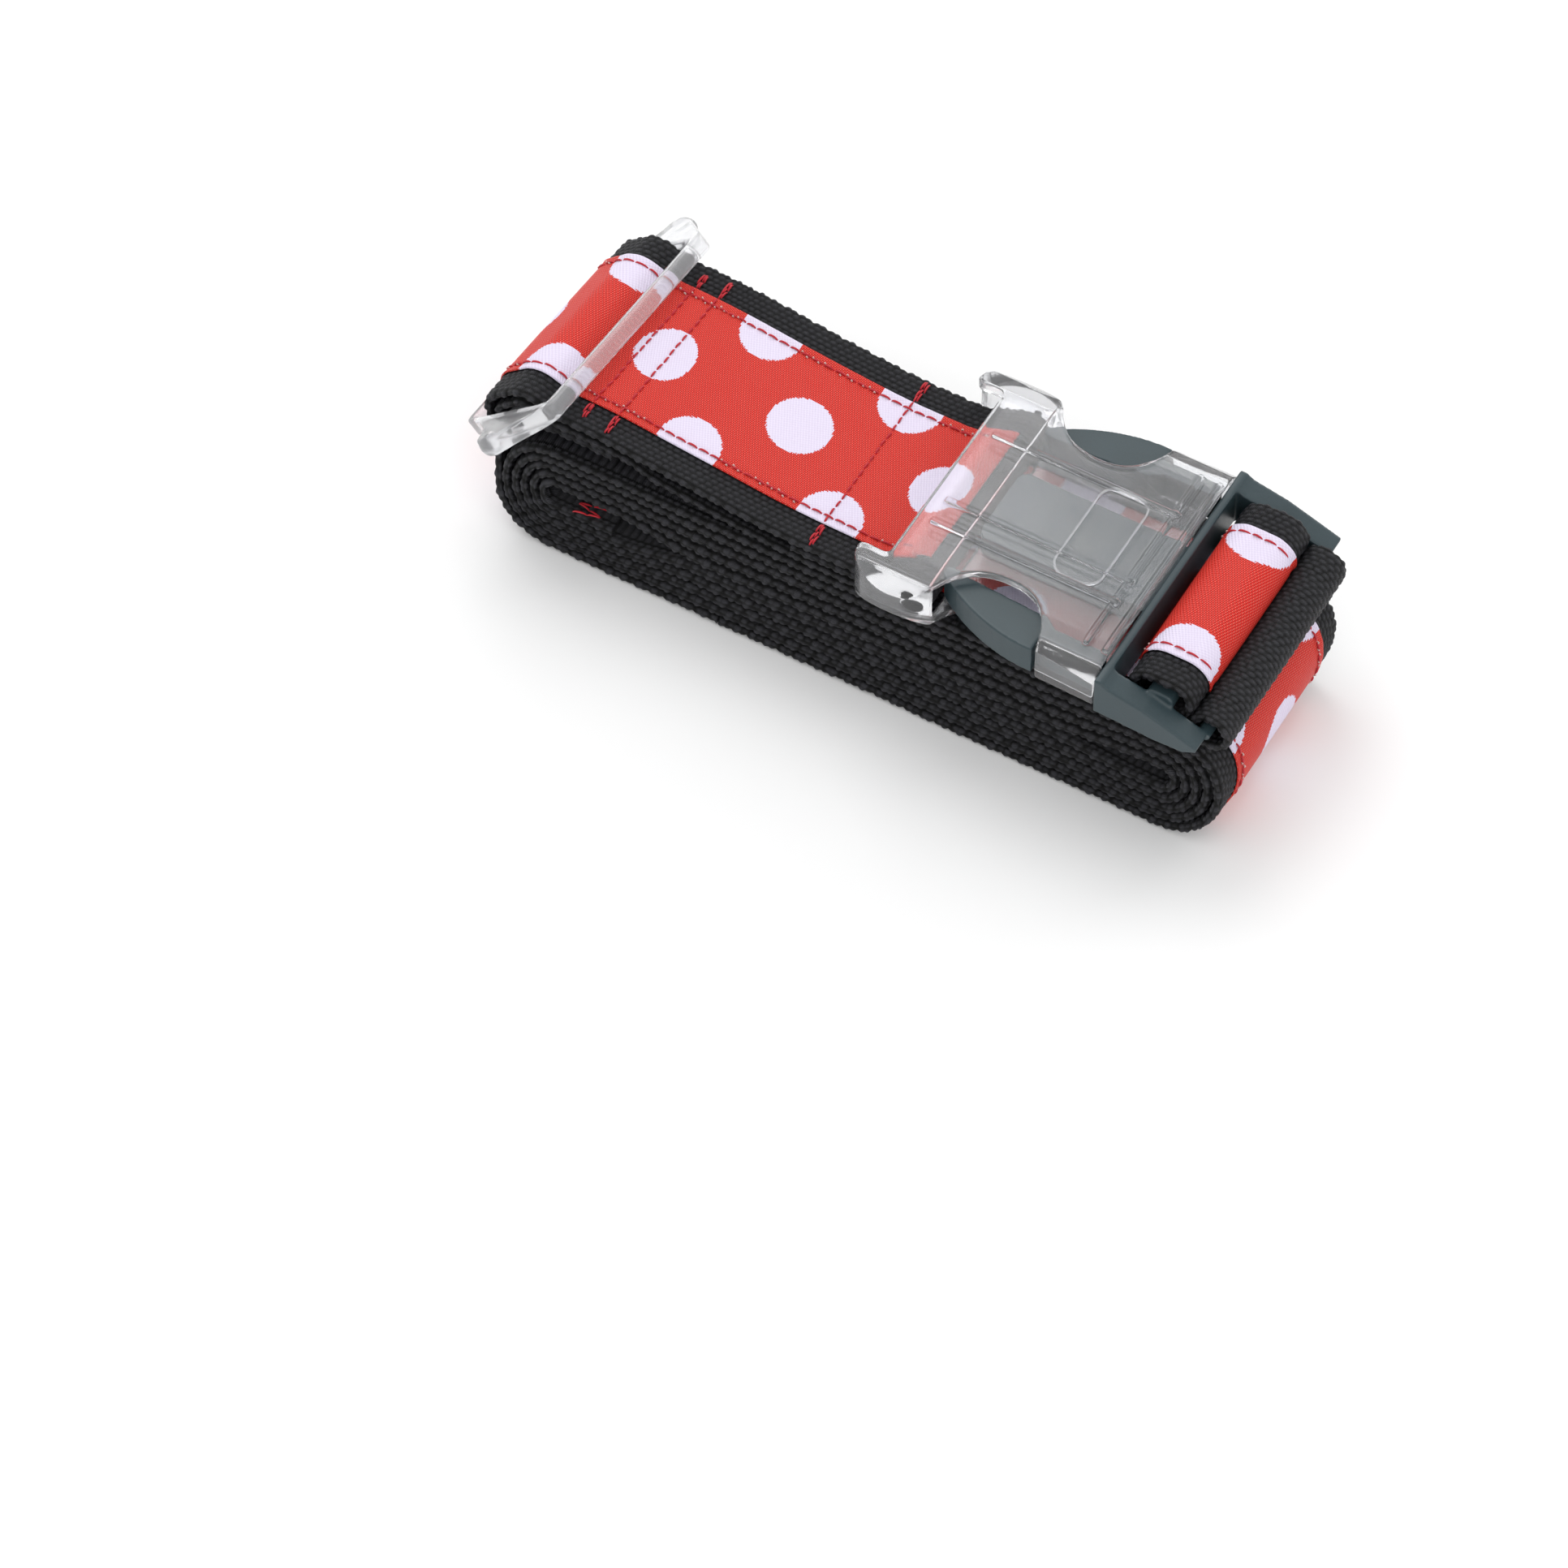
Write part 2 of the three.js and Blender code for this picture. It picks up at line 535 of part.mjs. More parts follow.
piece('band_edge_seam_near', 'thread', edgeSeam(-1));
piece('band_edge_seam_far', 'thread', edgeSeam(1));
piece('slider_seam_left', 'thread', crossSeam(SLIDER_SEAM_LEFT, RIBBON_WIDTH));
piece('slider_seam_right', 'thread', crossSeam(SLIDER_SEAM_RIGHT, RIBBON_WIDTH));
piece('buckle_seam', 'thread', crossSeam(BUCKLE_SEAM, WEB_WIDTH - 2));
piece('male_loop_seam', 'thread', innerSeam(
  MALE_BAR.x - 1, MALE_BAR.x, MALE_BAR.y - LOOP_RADIUS + HALF, 2,
));
piece('tail_hem_seam', 'thread', innerSeam(HEM_FROM, HEM_TO, LEFT_Z - EYE_RADIUS + HALF, 1));

const tilted = new THREE.Group();
tilted.position.set(CENTRE_BAR.x, 0, CENTRE_BAR.y);
tilted.rotation.y = -SLIDER_TILT;
object.add(tilted);
piece('slider', 'clear', slider(), tilted);

piece('female_buckle', 'clear', femaleBuckle());
piece('male_frame', 'charcoal', maleFrame());
piece('latch_arm_near', 'charcoal', latchArm(-1));
piece('latch_arm_far', 'charcoal', latchArm(1));

export default object;
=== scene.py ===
"""Looks of the wound luggage strap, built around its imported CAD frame.

Metres, X along the roll, Y across the webbing, +Z up. Straps are drawn in millimetres as belts over
round stops, with x counted from the turning centre at the left end of the roll, and moved into the
frame's place when they become meshes.
"""

import math
import random

import bmesh
import bpy
import numpy as np
from mathutils import Matrix, Vector


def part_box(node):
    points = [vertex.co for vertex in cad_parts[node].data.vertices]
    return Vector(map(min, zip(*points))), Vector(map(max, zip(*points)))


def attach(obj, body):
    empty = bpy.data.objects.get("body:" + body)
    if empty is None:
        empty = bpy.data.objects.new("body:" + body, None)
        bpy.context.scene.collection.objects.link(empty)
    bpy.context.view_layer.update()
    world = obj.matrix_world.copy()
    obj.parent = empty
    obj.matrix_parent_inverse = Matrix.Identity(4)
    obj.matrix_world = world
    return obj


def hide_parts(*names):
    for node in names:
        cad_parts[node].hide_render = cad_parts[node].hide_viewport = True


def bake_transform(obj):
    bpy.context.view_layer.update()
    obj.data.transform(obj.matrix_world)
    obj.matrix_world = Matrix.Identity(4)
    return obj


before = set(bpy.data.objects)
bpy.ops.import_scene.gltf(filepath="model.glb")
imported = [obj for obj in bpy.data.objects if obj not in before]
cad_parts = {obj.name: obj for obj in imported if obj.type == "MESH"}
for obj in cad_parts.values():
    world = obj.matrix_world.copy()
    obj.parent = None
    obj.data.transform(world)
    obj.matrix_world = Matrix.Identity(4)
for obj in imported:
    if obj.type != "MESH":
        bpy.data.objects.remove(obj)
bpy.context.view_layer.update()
MM = 0.001


def added(name, data):
    """A new object in the scene."""
    made = bpy.data.objects.new(name, data)
    bpy.context.scene.collection.objects.link(made)
    return made


# ------------------------ camera

ROLL_REACH = 154.761  # from the left turning centre to the right end of the roll's ribbon
ORIGIN_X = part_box("main_roll_ribbon")[1].x / MM - ROLL_REACH  # the left turning centre, in millimetres

CAMERA_AZIMUTH = math.radians(30.03)
CAMERA_ELEVATION = math.radians(53.5)
CAMERA_DISTANCE = 1.728
LENS = 195.6
AIM_X = 70
AIM_HEIGHT = 0.020
AIM_LEFT = 0.0267
AIM_DOWN = 0.05175
back = Vector((
    math.sin(CAMERA_AZIMUTH) * math.cos(CAMERA_ELEVATION),
    -math.cos(CAMERA_AZIMUTH) * math.cos(CAMERA_ELEVATION),
    math.sin(CAMERA_ELEVATION),
))
right = Vector((math.cos(CAMERA_AZIMUTH), math.sin(CAMERA_AZIMUTH), 0))
up = back.cross(right)
aim = Vector(((AIM_X + ORIGIN_X) * MM, 0, AIM_HEIGHT)) - right * AIM_LEFT - up * AIM_DOWN
camera = added("camera", bpy.data.cameras.new("camera"))
camera.matrix_world = Matrix.Translation(aim + back * CAMERA_DISTANCE) @ Matrix((
    (right.x, up.x, back.x, 0), (right.y, up.y, back.y, 0), (right.z, up.z, back.z, 0), (0, 0, 0, 1),
))
camera.data.lens = LENS
camera.data.sensor_width = 36
camera.data.clip_start = 0.05
camera.data.clip_end = 20
bpy.context.scene.camera = camera
bpy.context.scene.view_settings.view_transform = "Standard"

# ------------------------ sizes and levels, in millimetres

HALF_WIDTH = 25.0
WEB = 1.7
RIBBON_HALF = 18.25
RIBBON = 0.3
RIBBON_GAP = 0.15
CLEAR = 0.3
LAYER = 2.4
EYE_RADIUS = 1.8
TURNS = 5
ROLL_RUN = 141.0
TAIL_RUN = 14.0
HALF = WEB / 2
SKIN = HALF + RIBBON_GAP + RIBBON
RIGHT_RADIUS = EYE_RADIUS + LAYER / 2
ROLL_RADIUS = RIGHT_RADIUS + (TURNS - 1) * LAYER
RIGHT_Z = ROLL_RADIUS + SKIN
LEFT_Z = RIGHT_Z + LAYER / 2
LINK_Z = RIGHT_Z + ROLL_RADIUS + SKIN + CLEAR + HALF
STEP_UP = WEB + CLEAR
RETURN_Z = LINK_Z + SKIN + CLEAR + HALF
BAND_Z = RETURN_Z + STEP_UP
BUCKLE_Z = LINK_Z + SKIN + 0.35
BUCKLE_HEIGHT = 12.8
BUCKLE_TOP = BUCKLE_Z + BUCKLE_HEIGHT
BUCKLE_X = 77.0
BUCKLE_END = 127.0
SLIDER_TILT = math.radians(42)
SLIDER_PITCH = 12.8
BAR_RADIUS = 2.4
ALONG = np.array([math.cos(SLIDER_TILT), math.sin(SLIDER_TILT)])
RIGHT_BAR = np.array([-1.0, BAND_Z + SKIN + CLEAR + 0.1 + BAR_RADIUS])
CENTRE_BAR = RIGHT_BAR - SLIDER_PITCH * ALONG
BAR_HALF = 2.5
BAR_THICK_HALF = 1.5  # of the CAD model's centre bar, which the one drawn here is thinner than
FULLNESS = 0.6  # how much fuller the fold over the slider stands than in the CAD model
WRAP = BAR_THICK_HALF + CLEAR + HALF
OVER = WRAP + WEB + CLEAR + FULLNESS
BAR_LEFT = CENTRE_BAR - BAR_HALF * ALONG
BAR_RIGHT = CENTRE_BAR + BAR_HALF * ALONG
FEMALE_WRAP = 2.95
FEMALE_BAR = np.array([BUCKLE_X + 6.5, RETURN_Z + FEMALE_WRAP])
MALE_BAR = np.array([BUCKLE_END + 12.5, RETURN_Z + 6.6])
OUTER_BAR = np.array([BUCKLE_END + 22.5, LINK_Z + 4.3])
MALE_BAR_FLAT = 2.0
LOOP_RADIUS = 4.1
LOOP_TAIL = 3.0
UNDER_LOOP = LOOP_RADIUS + WEB + CLEAR
BEND_RADIUS = 3.95
BEND_X = BUCKLE_END + 23.2
EASE = 10.0
ROLL_END = 40.0
RETURN_END = 55.0
RISE = 15.0
RISE_X = 71.0
LINK_START = 12.0
STEP_FROM = 14.0
STEP_TO = 24.0
LINK_END = 118.0

# ------------------------ strap routes

TINY = 1e-6
TURN_STEP = 0.2
SEARCH_STEP = 0.1


def stop(x, z, radius=0.0, sense=1):
    """A round stop that a strap passes: its middle, its radius and the sense of the turn."""
    return (np.array([x, z], float), radius, sense)


def tangent(a, b):
    """The straight run from stop a to stop b: its heading and its two ends."""
    between = b[0] - a[0]
    ra, rb = a[1] * a[2], b[1] * b[2]
    heading = math.atan2(between[1], between[0]) + math.asin((ra - rb) / np.linalg.norm(between))
    side = np.array([math.sin(heading), -math.cos(heading)])
    return heading, a[0] + side * ra, b[0] + side * rb


class Route:
    """A strap's middle line through its stops, with its length along it in millimetres."""

    def __init__(self, stops):
        points, headings = [], []
        before = None
        for a, b in zip(stops, stops[1:]):
            heading, start, end = tangent(a, b)
            if before is not None and a[1] > 0:
                turn = ((heading - before) * a[2] + TINY) % (2 * math.pi) - TINY
                steps = max(2, int(turn * a[1] / TURN_STEP))
                for k in range(steps + 1):
                    h = before + a[2] * turn * k / steps
                    points.append(a[0] + np.array([math.sin(h), -math.cos(h)]) * a[1] * a[2])
                    headings.append(h)
            else:
                points.append(start)
                headings.append(heading)
            before = heading
        points.append(end)
        headings.append(before)
        points = np.array(points)
        gaps = np.linalg.norm(np.diff(points, axis=0), axis=1)
        keep = np.concatenate([[True], gaps > TINY])
        self.points = points[keep]
        self.headings = np.unwrap(np.array(headings)[keep])
        steps = np.linalg.norm(np.diff(self.points, axis=0), axis=1)
        self.lengths = np.concatenate([[0], np.cumsum(steps)])
        self.length = self.lengths[-1]

    def at(self, s):
        """The point at a length along the route, and the way out of the strap there."""
        x = np.interp(s, self.lengths, self.points[:, 0])
        z = np.interp(s, self.lengths, self.points[:, 1])
        h = np.interp(s, self.lengths, self.headings)
        return x, z, -np.sin(h), np.cos(h)

    def where(self, x, z):
        """The length along the route of its point nearest to (x, z)."""
        s = np.linspace(0, self.length, int(self.length / SEARCH_STEP))
        px, pz, _, _ = self.at(s)
        return s[np.argmin((px - x) ** 2 + (pz - z) ** 2)]


def roll_stops():
    """From the hemmed tail inside, round both ends of the roll turn by turn, to its bottom run."""
    stops = [stop(TAIL_RUN, LEFT_Z - EYE_RADIUS)]
    for turn in range(TURNS):
        stops.append(stop(0, LEFT_Z, EYE_RADIUS + turn * LAYER, -1))
        stops.append(stop(ROLL_RUN, RIGHT_Z, RIGHT_RADIUS + turn * LAYER, -1))
    return stops + [stop(ROLL_END, RIGHT_Z - ROLL_RADIUS)]


band_stops = [
    stop(ROLL_END - CLEAR, RIGHT_Z - ROLL_RADIUS),
    stop(0, LEFT_Z, EYE_RADIUS + TURNS * LAYER, -1),
    stop(*BAR_LEFT, OVER, -1),
    stop(*BAR_RIGHT, OVER, -1),
    stop(*RIGHT_BAR, RIGHT_BAR[1] - BAND_Z, 1),
    stop(RISE_X, BAND_Z + RISE, RISE, 1),
    stop(*FEMALE_BAR, FEMALE_WRAP, -1),
    stop(RETURN_END, RETURN_Z),
]
link_lower_stops = [
    stop(LINK_START, LINK_Z),
    stop(0, LEFT_Z, LINK_Z - LEFT_Z, 1),
    stop(*BAR_LEFT, WRAP, -1),
    stop(*BAR_RIGHT, WRAP, -1),
    stop(*RIGHT_BAR, RIGHT_BAR[1] - LINK_Z - STEP_UP, 1),
    stop(STEP_FROM, LINK_Z + STEP_UP - EASE, EASE, -1),
    stop(STEP_TO, LINK_Z + EASE, EASE, 1),
    stop(LINK_END, LINK_Z),
]
link_upper_stops = [
    stop(LINK_END, LINK_Z),
    stop(BEND_X, LINK_Z + BEND_RADIUS, BEND_RADIUS, 1),
    stop(MALE_BAR[0] + MALE_BAR_FLAT, MALE_BAR[1], UNDER_LOOP, -1),
    stop(MALE_BAR[0] - MALE_BAR_FLAT, MALE_BAR[1] - STEP_UP / 2, LOOP_RADIUS + STEP_UP / 2, -1),
    stop(MALE_BAR[0] + MALE_BAR_FLAT, MALE_BAR[1], LOOP_RADIUS, -1),
    stop(MALE_BAR[0] - LOOP_TAIL, MALE_BAR[1] - LOOP_RADIUS),
]
roll_route = Route(roll_stops())
band_route = Route(band_stops)
link_route = Route(link_lower_stops)
upper_route = Route(link_upper_stops)


def smooth(x):
    """A gentle step from 0 to 1."""
    x = np.clip(x, 0, 1)
    return x * x * (3 - 2 * x)


EDGE = 0.1
LEFT_OUTER = EYE_RADIUS + TURNS * LAYER
EYE_TIGHT = 0.905  # the layers' pitch round the opened left eye, as a share of the CAD model's
EYE_LEAST = 0.3
EYE_EASE = (13, 22)  # where the left eye's opening starts to fade, and over what length
RIGHT_EASE = (138, 24)  # where the even spread ends on the right, and over what length it fades


def evened(x, z):
    """The roll's layers spread evenly between its top and bottom runs, and its left eye pulled open."""
    away = smooth((x - EYE_EASE[0]) / EYE_EASE[1])
    share = away * smooth((RIGHT_EASE[0] - x) / RIGHT_EASE[1])
    low, high = RIGHT_Z - ROLL_RADIUS, RIGHT_Z + ROLL_RADIUS
    grow = (high - low) / (2 * TURNS - 1) / LAYER
    spread = np.where(z > (low + high) / 2, high - (high - z) * grow, low + (z - low) * grow)
    inside = (z > low - EDGE) & (z < high + EDGE)
    # Round the eye every layer moves out from its middle, the innermost one the most.
    reach = np.minimum(x, 0)
    radius = np.maximum(np.hypot(reach, z - LEFT_Z), EYE_LEAST)
    wider = np.maximum(LEFT_OUTER - (LEFT_OUTER - radius) * EYE_TIGHT, radius) / radius
    opened_x = np.where(x < 0, x + (1 - away) * reach * (wider - 1), x)
    opened_z = (1 - away) * (z - LEFT_Z) * (wider - 1)
    return opened_x, z + opened_z + np.where(inside, share * (spread - z), 0)


def sway(s, w):
    """The straps' slight unevenness, in millimetres off their middle line."""
    return 0.10 * np.sin(s / 9.7 + w / 21) + 0.06 * np.sin(s / 4.3 - w / 13 + 1.0)


DRIFT = 3.4
DRIFT_HEIGHT = 26


def drift(z):
    """How far a layer lies from the middle of the roll, across the webbing."""
    return -DRIFT * smooth((DRIFT_HEIGHT - z) / DRIFT_HEIGHT)


SKEW = math.tan(math.radians(4.0))
FOLD_SHIFT = (1.8, 2.2, 2.4)
SHOULDER_EASE = (9, 11)  # the height where the shift starts, and over what height it grows
SKEW_EASE = (24, 22)  # where the skew ends on the right, and over what length it fades
SHIFT_EASE = 62


def settled(x, y, z):
    """The slider and the strap's fold over it sit a little askew and high on the roll's shoulder."""
    high = smooth((z - SHOULDER_EASE[0]) / SHOULDER_EASE[1])
    near = smooth((SKEW_EASE[0] - x) / SKEW_EASE[1]) * high
    share = smooth((SHIFT_EASE - x) / SHIFT_EASE) * high
    return x + near * (FOLD_SHIFT[0] + y * SKEW), y + share * FOLD_SHIFT[1], z + share * FOLD_SHIFT[2]


# ------------------------ meshes of webbing and ribbon

BEAD_ACROSS = 1.18
BEAD_ALONG = 1.75
BEAD_FLOOR = 0.15
SCALLOP = 3.7
SCALLOP_DEPTH = 0.12
ROUND_POINTS = 8
FLOOR_GAP = 0.02  # cloth and thread stay this far above the floor


def beads(s, w):
    """The woven relief of the webbing: rows of beads, each row half a bead off the next."""
    column = w / BEAD_ACROSS
    row = np.round(column)
    across = np.cos(math.pi * (column - row)) ** 2
    phase = s / BEAD_ALONG + 0.5 * (row % 2) + 0.12 * np.sin(row * 5.1)
    along = np.cos(math.pi * (phase - np.round(phase))) ** 2
    return np.sqrt(across) * (BEAD_FLOOR + (1 - BEAD_FLOOR) * np.sqrt(along))


def spaced(first, last, pitch):
    """Places from first to last, as near to a pitch as an even spacing allows."""
    return np.linspace(first, last, max(2, int(round((last - first) / pitch)) + 1))


def section(half_width, half, fine_from, fine, coarse):
    """The outline round a webbing: across, off the middle, the way out, and the way round."""
    flat = half_width - half
    middle = spaced(-fine_from, fine_from, coarse)
    margin = spaced(fine_from, flat, fine)[1:]
    top = np.concatenate([-margin[::-1], middle, margin])
    angles = np.linspace(math.pi / 2, -math.pi / 2, ROUND_POINTS)[1:-1]
    cos, sin = np.cos(angles), np.sin(angles)
    zeros, ones = np.zeros(len(top)), np.ones(len(top))
    across = np.concatenate([top, flat + half * cos, top[::-1], -flat - half * cos])
    off = np.concatenate([half * ones, half * sin, -half * ones, -half * sin])
    out_across = np.concatenate([zeros, cos, zeros, -cos])
    out_off = np.concatenate([ones, sin, -ones, -sin])
    turned = half * (math.pi / 2 - angles)
    round_it = np.concatenate([top, flat + turned, top[::-1], -flat - turned])
    return across, off, out_across, out_off, round_it


def ring_mesh(name, points, strap, material):
    """A closed mesh from rows of rings of points in millimetres, with the strap's own coordinates."""
    rows, columns, _ = points.shape
    points = points.reshape(-1, 3) + np.array([ORIGIN_X, 0, 0])
    index = np.arange(rows * columns).reshape(rows, columns)
    nearby = np.roll(index, -1, axis=1)
    quads = np.stack([index[:-1], nearby[:-1], nearby[1:], index[1:]], axis=-1).reshape(-1, 4)
    mesh = bpy.data.meshes.new(name)
    faces = quads.tolist() + [index[0][::-1].tolist(), index[-1].tolist()]
    mesh.from_pydata((points * MM).tolist(), [], faces)
    mesh.polygons.foreach_set("use_smooth", [True] * len(quads) + [False] * 2)
    attribute = mesh.attributes.new("strap", "FLOAT_VECTOR", "POINT")
    attribute.data.foreach_set("vector", strap.reshape(-1).astype(np.float32))
    mesh.materials.append(material)
    check = bmesh.new()
    check.from_mesh(mesh)
    if check.calc_volume(signed=True) < 0:
        mesh.flip_normals()
    check.free()
    return added(name, mesh)


def fabric(
    name, route, s0, s1, outline, pitch, relief, lift, material, phase=0.0, even=False, skew=False,
):
    """A strap or ribbon along a route between two lengths. lift is its middle's height off the route.

    phase is the length where its pattern starts, even lays it in the roll, and skew in the fold over
    the slider.
    """
    across, off, out_across, out_off, round_it = outline
    s = spaced(s0, s1, pitch)[:, None]
    x, z, nx, nz = route.at(s)
    raised = relief(s, round_it[None, :], out_off[None, :])
    w = across[None, :] + out_across[None, :] * raised
    n = lift + off[None, :] + out_off[None, :] * raised + sway(s, across[None, :])
    px, pz = x + nx * n, z + nz * n
    if even:
        px, pz = evened(px, pz)
    py = w + drift(pz)
    if skew:
        px, py, pz = settled(px, py, pz)
    points = np.stack([px, py, np.maximum(pz, FLOOR_GAP)], axis=-1)
    strap = np.stack(np.broadcast_arrays(s - phase, round_it[None, :], raised), axis=-1)
    return ring_mesh(name, points, strap, material)


FACING = 0.99  # from this cosine on, a point lies on a flat face and not on a rounded edge


def webbing_relief(depth):
    """Beads of a given depth on the faces, and a scalloped selvage along the edges."""
    def relief(s, w, out):
        side = np.where(np.abs(out) < FACING, 1.0, 0.0)
        scallop = SCALLOP_DEPTH * np.cos(2 * math.pi * s / SCALLOP) + 0.05 * np.sin(s * 0.83 + w)
        return depth * (beads(s, w) - 0.5) + side * scallop
    return relief


STITCH = 2.7
SEAM_W = RIBBON_HALF - 2.0
DIMPLE_HALF = 0.75
PULL = (0.10, 0.07)  # how deep the seams pull the ribbon, and how much that varies with the stitches


def ribbon_relief(s, w, out):
    """The ribbon is pulled down along its edge seams, and its free edges curl up a little."""
    seam = np.exp(-((np.abs(w) - SEAM_W) / DIMPLE_HALF) ** 2)
    pull = PULL[0] + PULL[1] * np.cos(2 * math.pi * s / STITCH)
    edge = 0.10 * smooth((np.abs(w) - SEAM_W - 0.6) / 1.2) * (1 + 0.5 * np.sin(s * 1.9))
    return np.where(out > FACING, edge - seam * pull, 0)


# ------------------------ materials

OBJECT_PLACE = 3  # the texture coordinate node's output that holds the place in metres
ATTRIBUTE_VECTOR = 1


class Nodes:
    """A material's node tree, written as calls."""

    def __init__(self, name):
        self.material = bpy.data.materials.new(name)
        self.material.use_nodes = True
        self.tree = self.material.node_tree
        self.shader = self.tree.nodes["Principled BSDF"]

    def put(self, socket, value):
        if isinstance(value, bpy.types.NodeSocket):
            self.tree.links.new(value, socket)
        else:
            socket.default_value = value

    def node(self, kind, inputs=(), output=0, **settings):
        made = self.tree.nodes.new(kind)
        for key, value in settings.items():
            setattr(made, key, value)
        for key, value in dict(inputs).items():
            self.put(made.inputs[key], value)
        return made.outputs[output]

    def math(self, operation, a, b=0.0, c=0.0, use_clamp=False):
        return self.node("ShaderNodeMath", {0: a, 1: b, 2: c}, operation=operation, use_clamp=use_clamp)

    def wave(self, value, length):
        """A sine wave of a given length along a value."""
        return self.math("SINE", self.math("MULTIPLY", value, 2 * math.pi / length))

    def place(self):
        """The place on the piece, in metres."""
        return self.node("ShaderNodeTexCoord", output=OBJECT_PLACE)

    def split(self, vector):
        made = self.tree.nodes.new("ShaderNodeSeparateXYZ")
        self.put(made.inputs[0], vector)
        return made.outputs[0], made.outputs[1], made.outputs[2]

    def mix(self, factor, a, b):
        made = self.tree.nodes.new("ShaderNodeMix")
        made.data_type = "RGBA"
        self.put(made.inputs[0], factor)
        self.put(made.inputs[6], a)
        self.put(made.inputs[7], b)
        return made.outputs[2]

    def noise(self, vector, scale, detail=2.0, roughness=0.5):
        return self.node("ShaderNodeTexNoise", {
            "Vector": vector, "Scale": scale, "Detail": detail, "Roughness": roughness,
        })

    def strap(self):
        """The strap's own coordinates in millimetres: as a vector, then along, across and raised."""
        vector = self.node("ShaderNodeAttribute", output=ATTRIBUTE_VECTOR, attribute_name="strap")
        return vector, *self.split(vector)

    def bump(self, height, strength, distance):
        return self.node("ShaderNodeBump", {"Height": height, "Strength": strength, "Distance": distance})

    def set(self, **values):
        for key, value in values.items():
            self.put(self.shader.inputs[key.replace("_", " ")], value)
        return self.material


def colour(r, g, b):
    """A colour from 0 to 255 as the eye sees it, made linear."""
    return (*((v / 255) ** 2.2 for v in (r, g, b)), 1.0)


YARN = 0.30


def webbing_material():
    """Black woven yarn: dark with painted shade between the beads, grey with painted highlights on top of
    them.
    """
    n = Nodes("black_webbing")
    vector, s, w, raised = n.strap()
    yarn = n.wave(n.math("ADD", s, n.math("MULTIPLY", w, 0.9)), YARN)
    fuzz_and_glint = n.noise(vector, 3.5, 4.0, 0.7)
    patch = n.noise(vector, 0.12, 2.0)
    # Painted shade and light: the yarn is painted near black in the dips between the beads and lighter on
    # their raised tops.
    top = n.math("MULTIPLY_ADD", raised, 3.4, 0.5, use_clamp=True)
    shade = n.mix(top, colour(3, 3, 4), colour(28, 28, 31))
    # Painted highlights: grey flecks of glint on the bead tops, from the same noise as the yarn's fuzz.
    shade = n.mix(n.math("MULTIPLY", fuzz_and_glint, n.math("MULTIPLY", top, 0.9)), shade, colour(82, 82, 88))
    shade = n.mix(n.math("MULTIPLY", patch, 0.3), shade, colour(14, 14, 15))
    height = n.math("ADD", n.math("MULTIPLY", yarn, 0.6), n.math("MULTIPLY", fuzz_and_glint, 0.9))
    return n.set(
        Base_Color=shade, Roughness=n.math("MULTIPLY_ADD", fuzz_and_glint, 0.25, 0.38),
        Normal=n.bump(height, 0.8, 0.00016), Specular_IOR_Level=0.32,
    )


DOT_PERIOD = 33.6
DOT_ROW = 16.8
DOT_RADIUS = 7.0
WEAVE = 0.42
DOT_MARGIN = 0.25
RAGGED = 0.55
TWILL = 0.66
ENDS = 0.62


def ribbon_material():
    """Woven red satin with rows of white dots, whose edges step with the weave."""
    n = Nodes("dotted_ribbon")
    vector, s, w, _ = n.strap()
    ragged = n.math("MULTIPLY", n.noise(vector, 1.6, 2.0), RAGGED)
    s_cell = n.math("SNAP", s, WEAVE)
    w_cell = n.math("SNAP", w, WEAVE)

    def distance(along, across):
        u = n.math("WRAP", along, DOT_PERIOD / 2, -DOT_PERIOD / 2)
        squares = n.math("ADD", n.math("MULTIPLY", u, u), n.math("MULTIPLY", across, across))
        return n.math("SQRT", squares)

    centre_row = distance(s_cell, w_cell)
    edge_rows = distance(
        n.math("ADD", s_cell, DOT_PERIOD / 2),
        n.math("SUBTRACT", n.math("ABSOLUTE", w_cell), DOT_ROW),
    )
    nearest = n.math("ADD", n.math("MINIMUM", centre_row, edge_rows), ragged)
    dot = n.math("LESS_THAN", nearest, DOT_RADIUS + DOT_MARGIN)
    # Satin: fine yarns slanting across the ribbon, with rows of painted glints as light pinpoints between
    # them.
    twill = n.wave(n.math("ADD", s, n.math("MULTIPLY", w, 0.55)), TWILL)
    ends = n.wave(n.math("SUBTRACT", w, n.math("MULTIPLY", s, 0.45)), ENDS)
    pins = n.math("MULTIPLY_ADD", n.math("MULTIPLY", twill, ends), 1.6, -0.55, use_clamp=True)
    relief = n.math("ADD", n.math("MULTIPLY", twill, 0.6), n.math("MULTIPLY", ends, 0.4))
    patch = n.noise(vector, 0.22, 3.0)
    fleck = n.noise(vector, 2.3, 3.0, 0.7)
    glint = n.math("MULTIPLY", pins, n.math("MULTIPLY_ADD", fleck, 1.0, 0.15))
    # Painted shade and light: the red is darker in the dips of the weave and lighter on its raised yarns.
    red = n.mix(n.math("MULTIPLY_ADD", relief, 0.42, 0.5), colour(156, 14, 10), colour(226, 40, 28))
    # Painted highlights: pale pinpoints of glint on the red.
    red = n.mix(glint, red, colour(255, 168, 150))
    red = n.mix(n.math("MULTIPLY", patch, 0.3), red, colour(196, 28, 22))
    # Painted shade and light: the white dots are darker in the dips of the weave and lighter on its raised
    # yarns.
    white = n.mix(n.math("MULTIPLY_ADD", relief, 0.3, 0.5), colour(208, 199, 224), colour(236, 230, 248))
    white = n.mix(n.math("MULTIPLY", fleck, 0.25), white, colour(228, 204, 226))
    return n.set(
        Base_Color=n.mix(dot, red, white), Roughness=n.math("MULTIPLY_ADD", relief, 0.06, 0.46),
        Normal=n.bump(n.math("ADD", relief, n.math("MULTIPLY", dot, 0.8)), 0.5, 0.00012),
        Specular_IOR_Level=0.22,
    )


TWIST = 0.00035
SHADED = 0.72


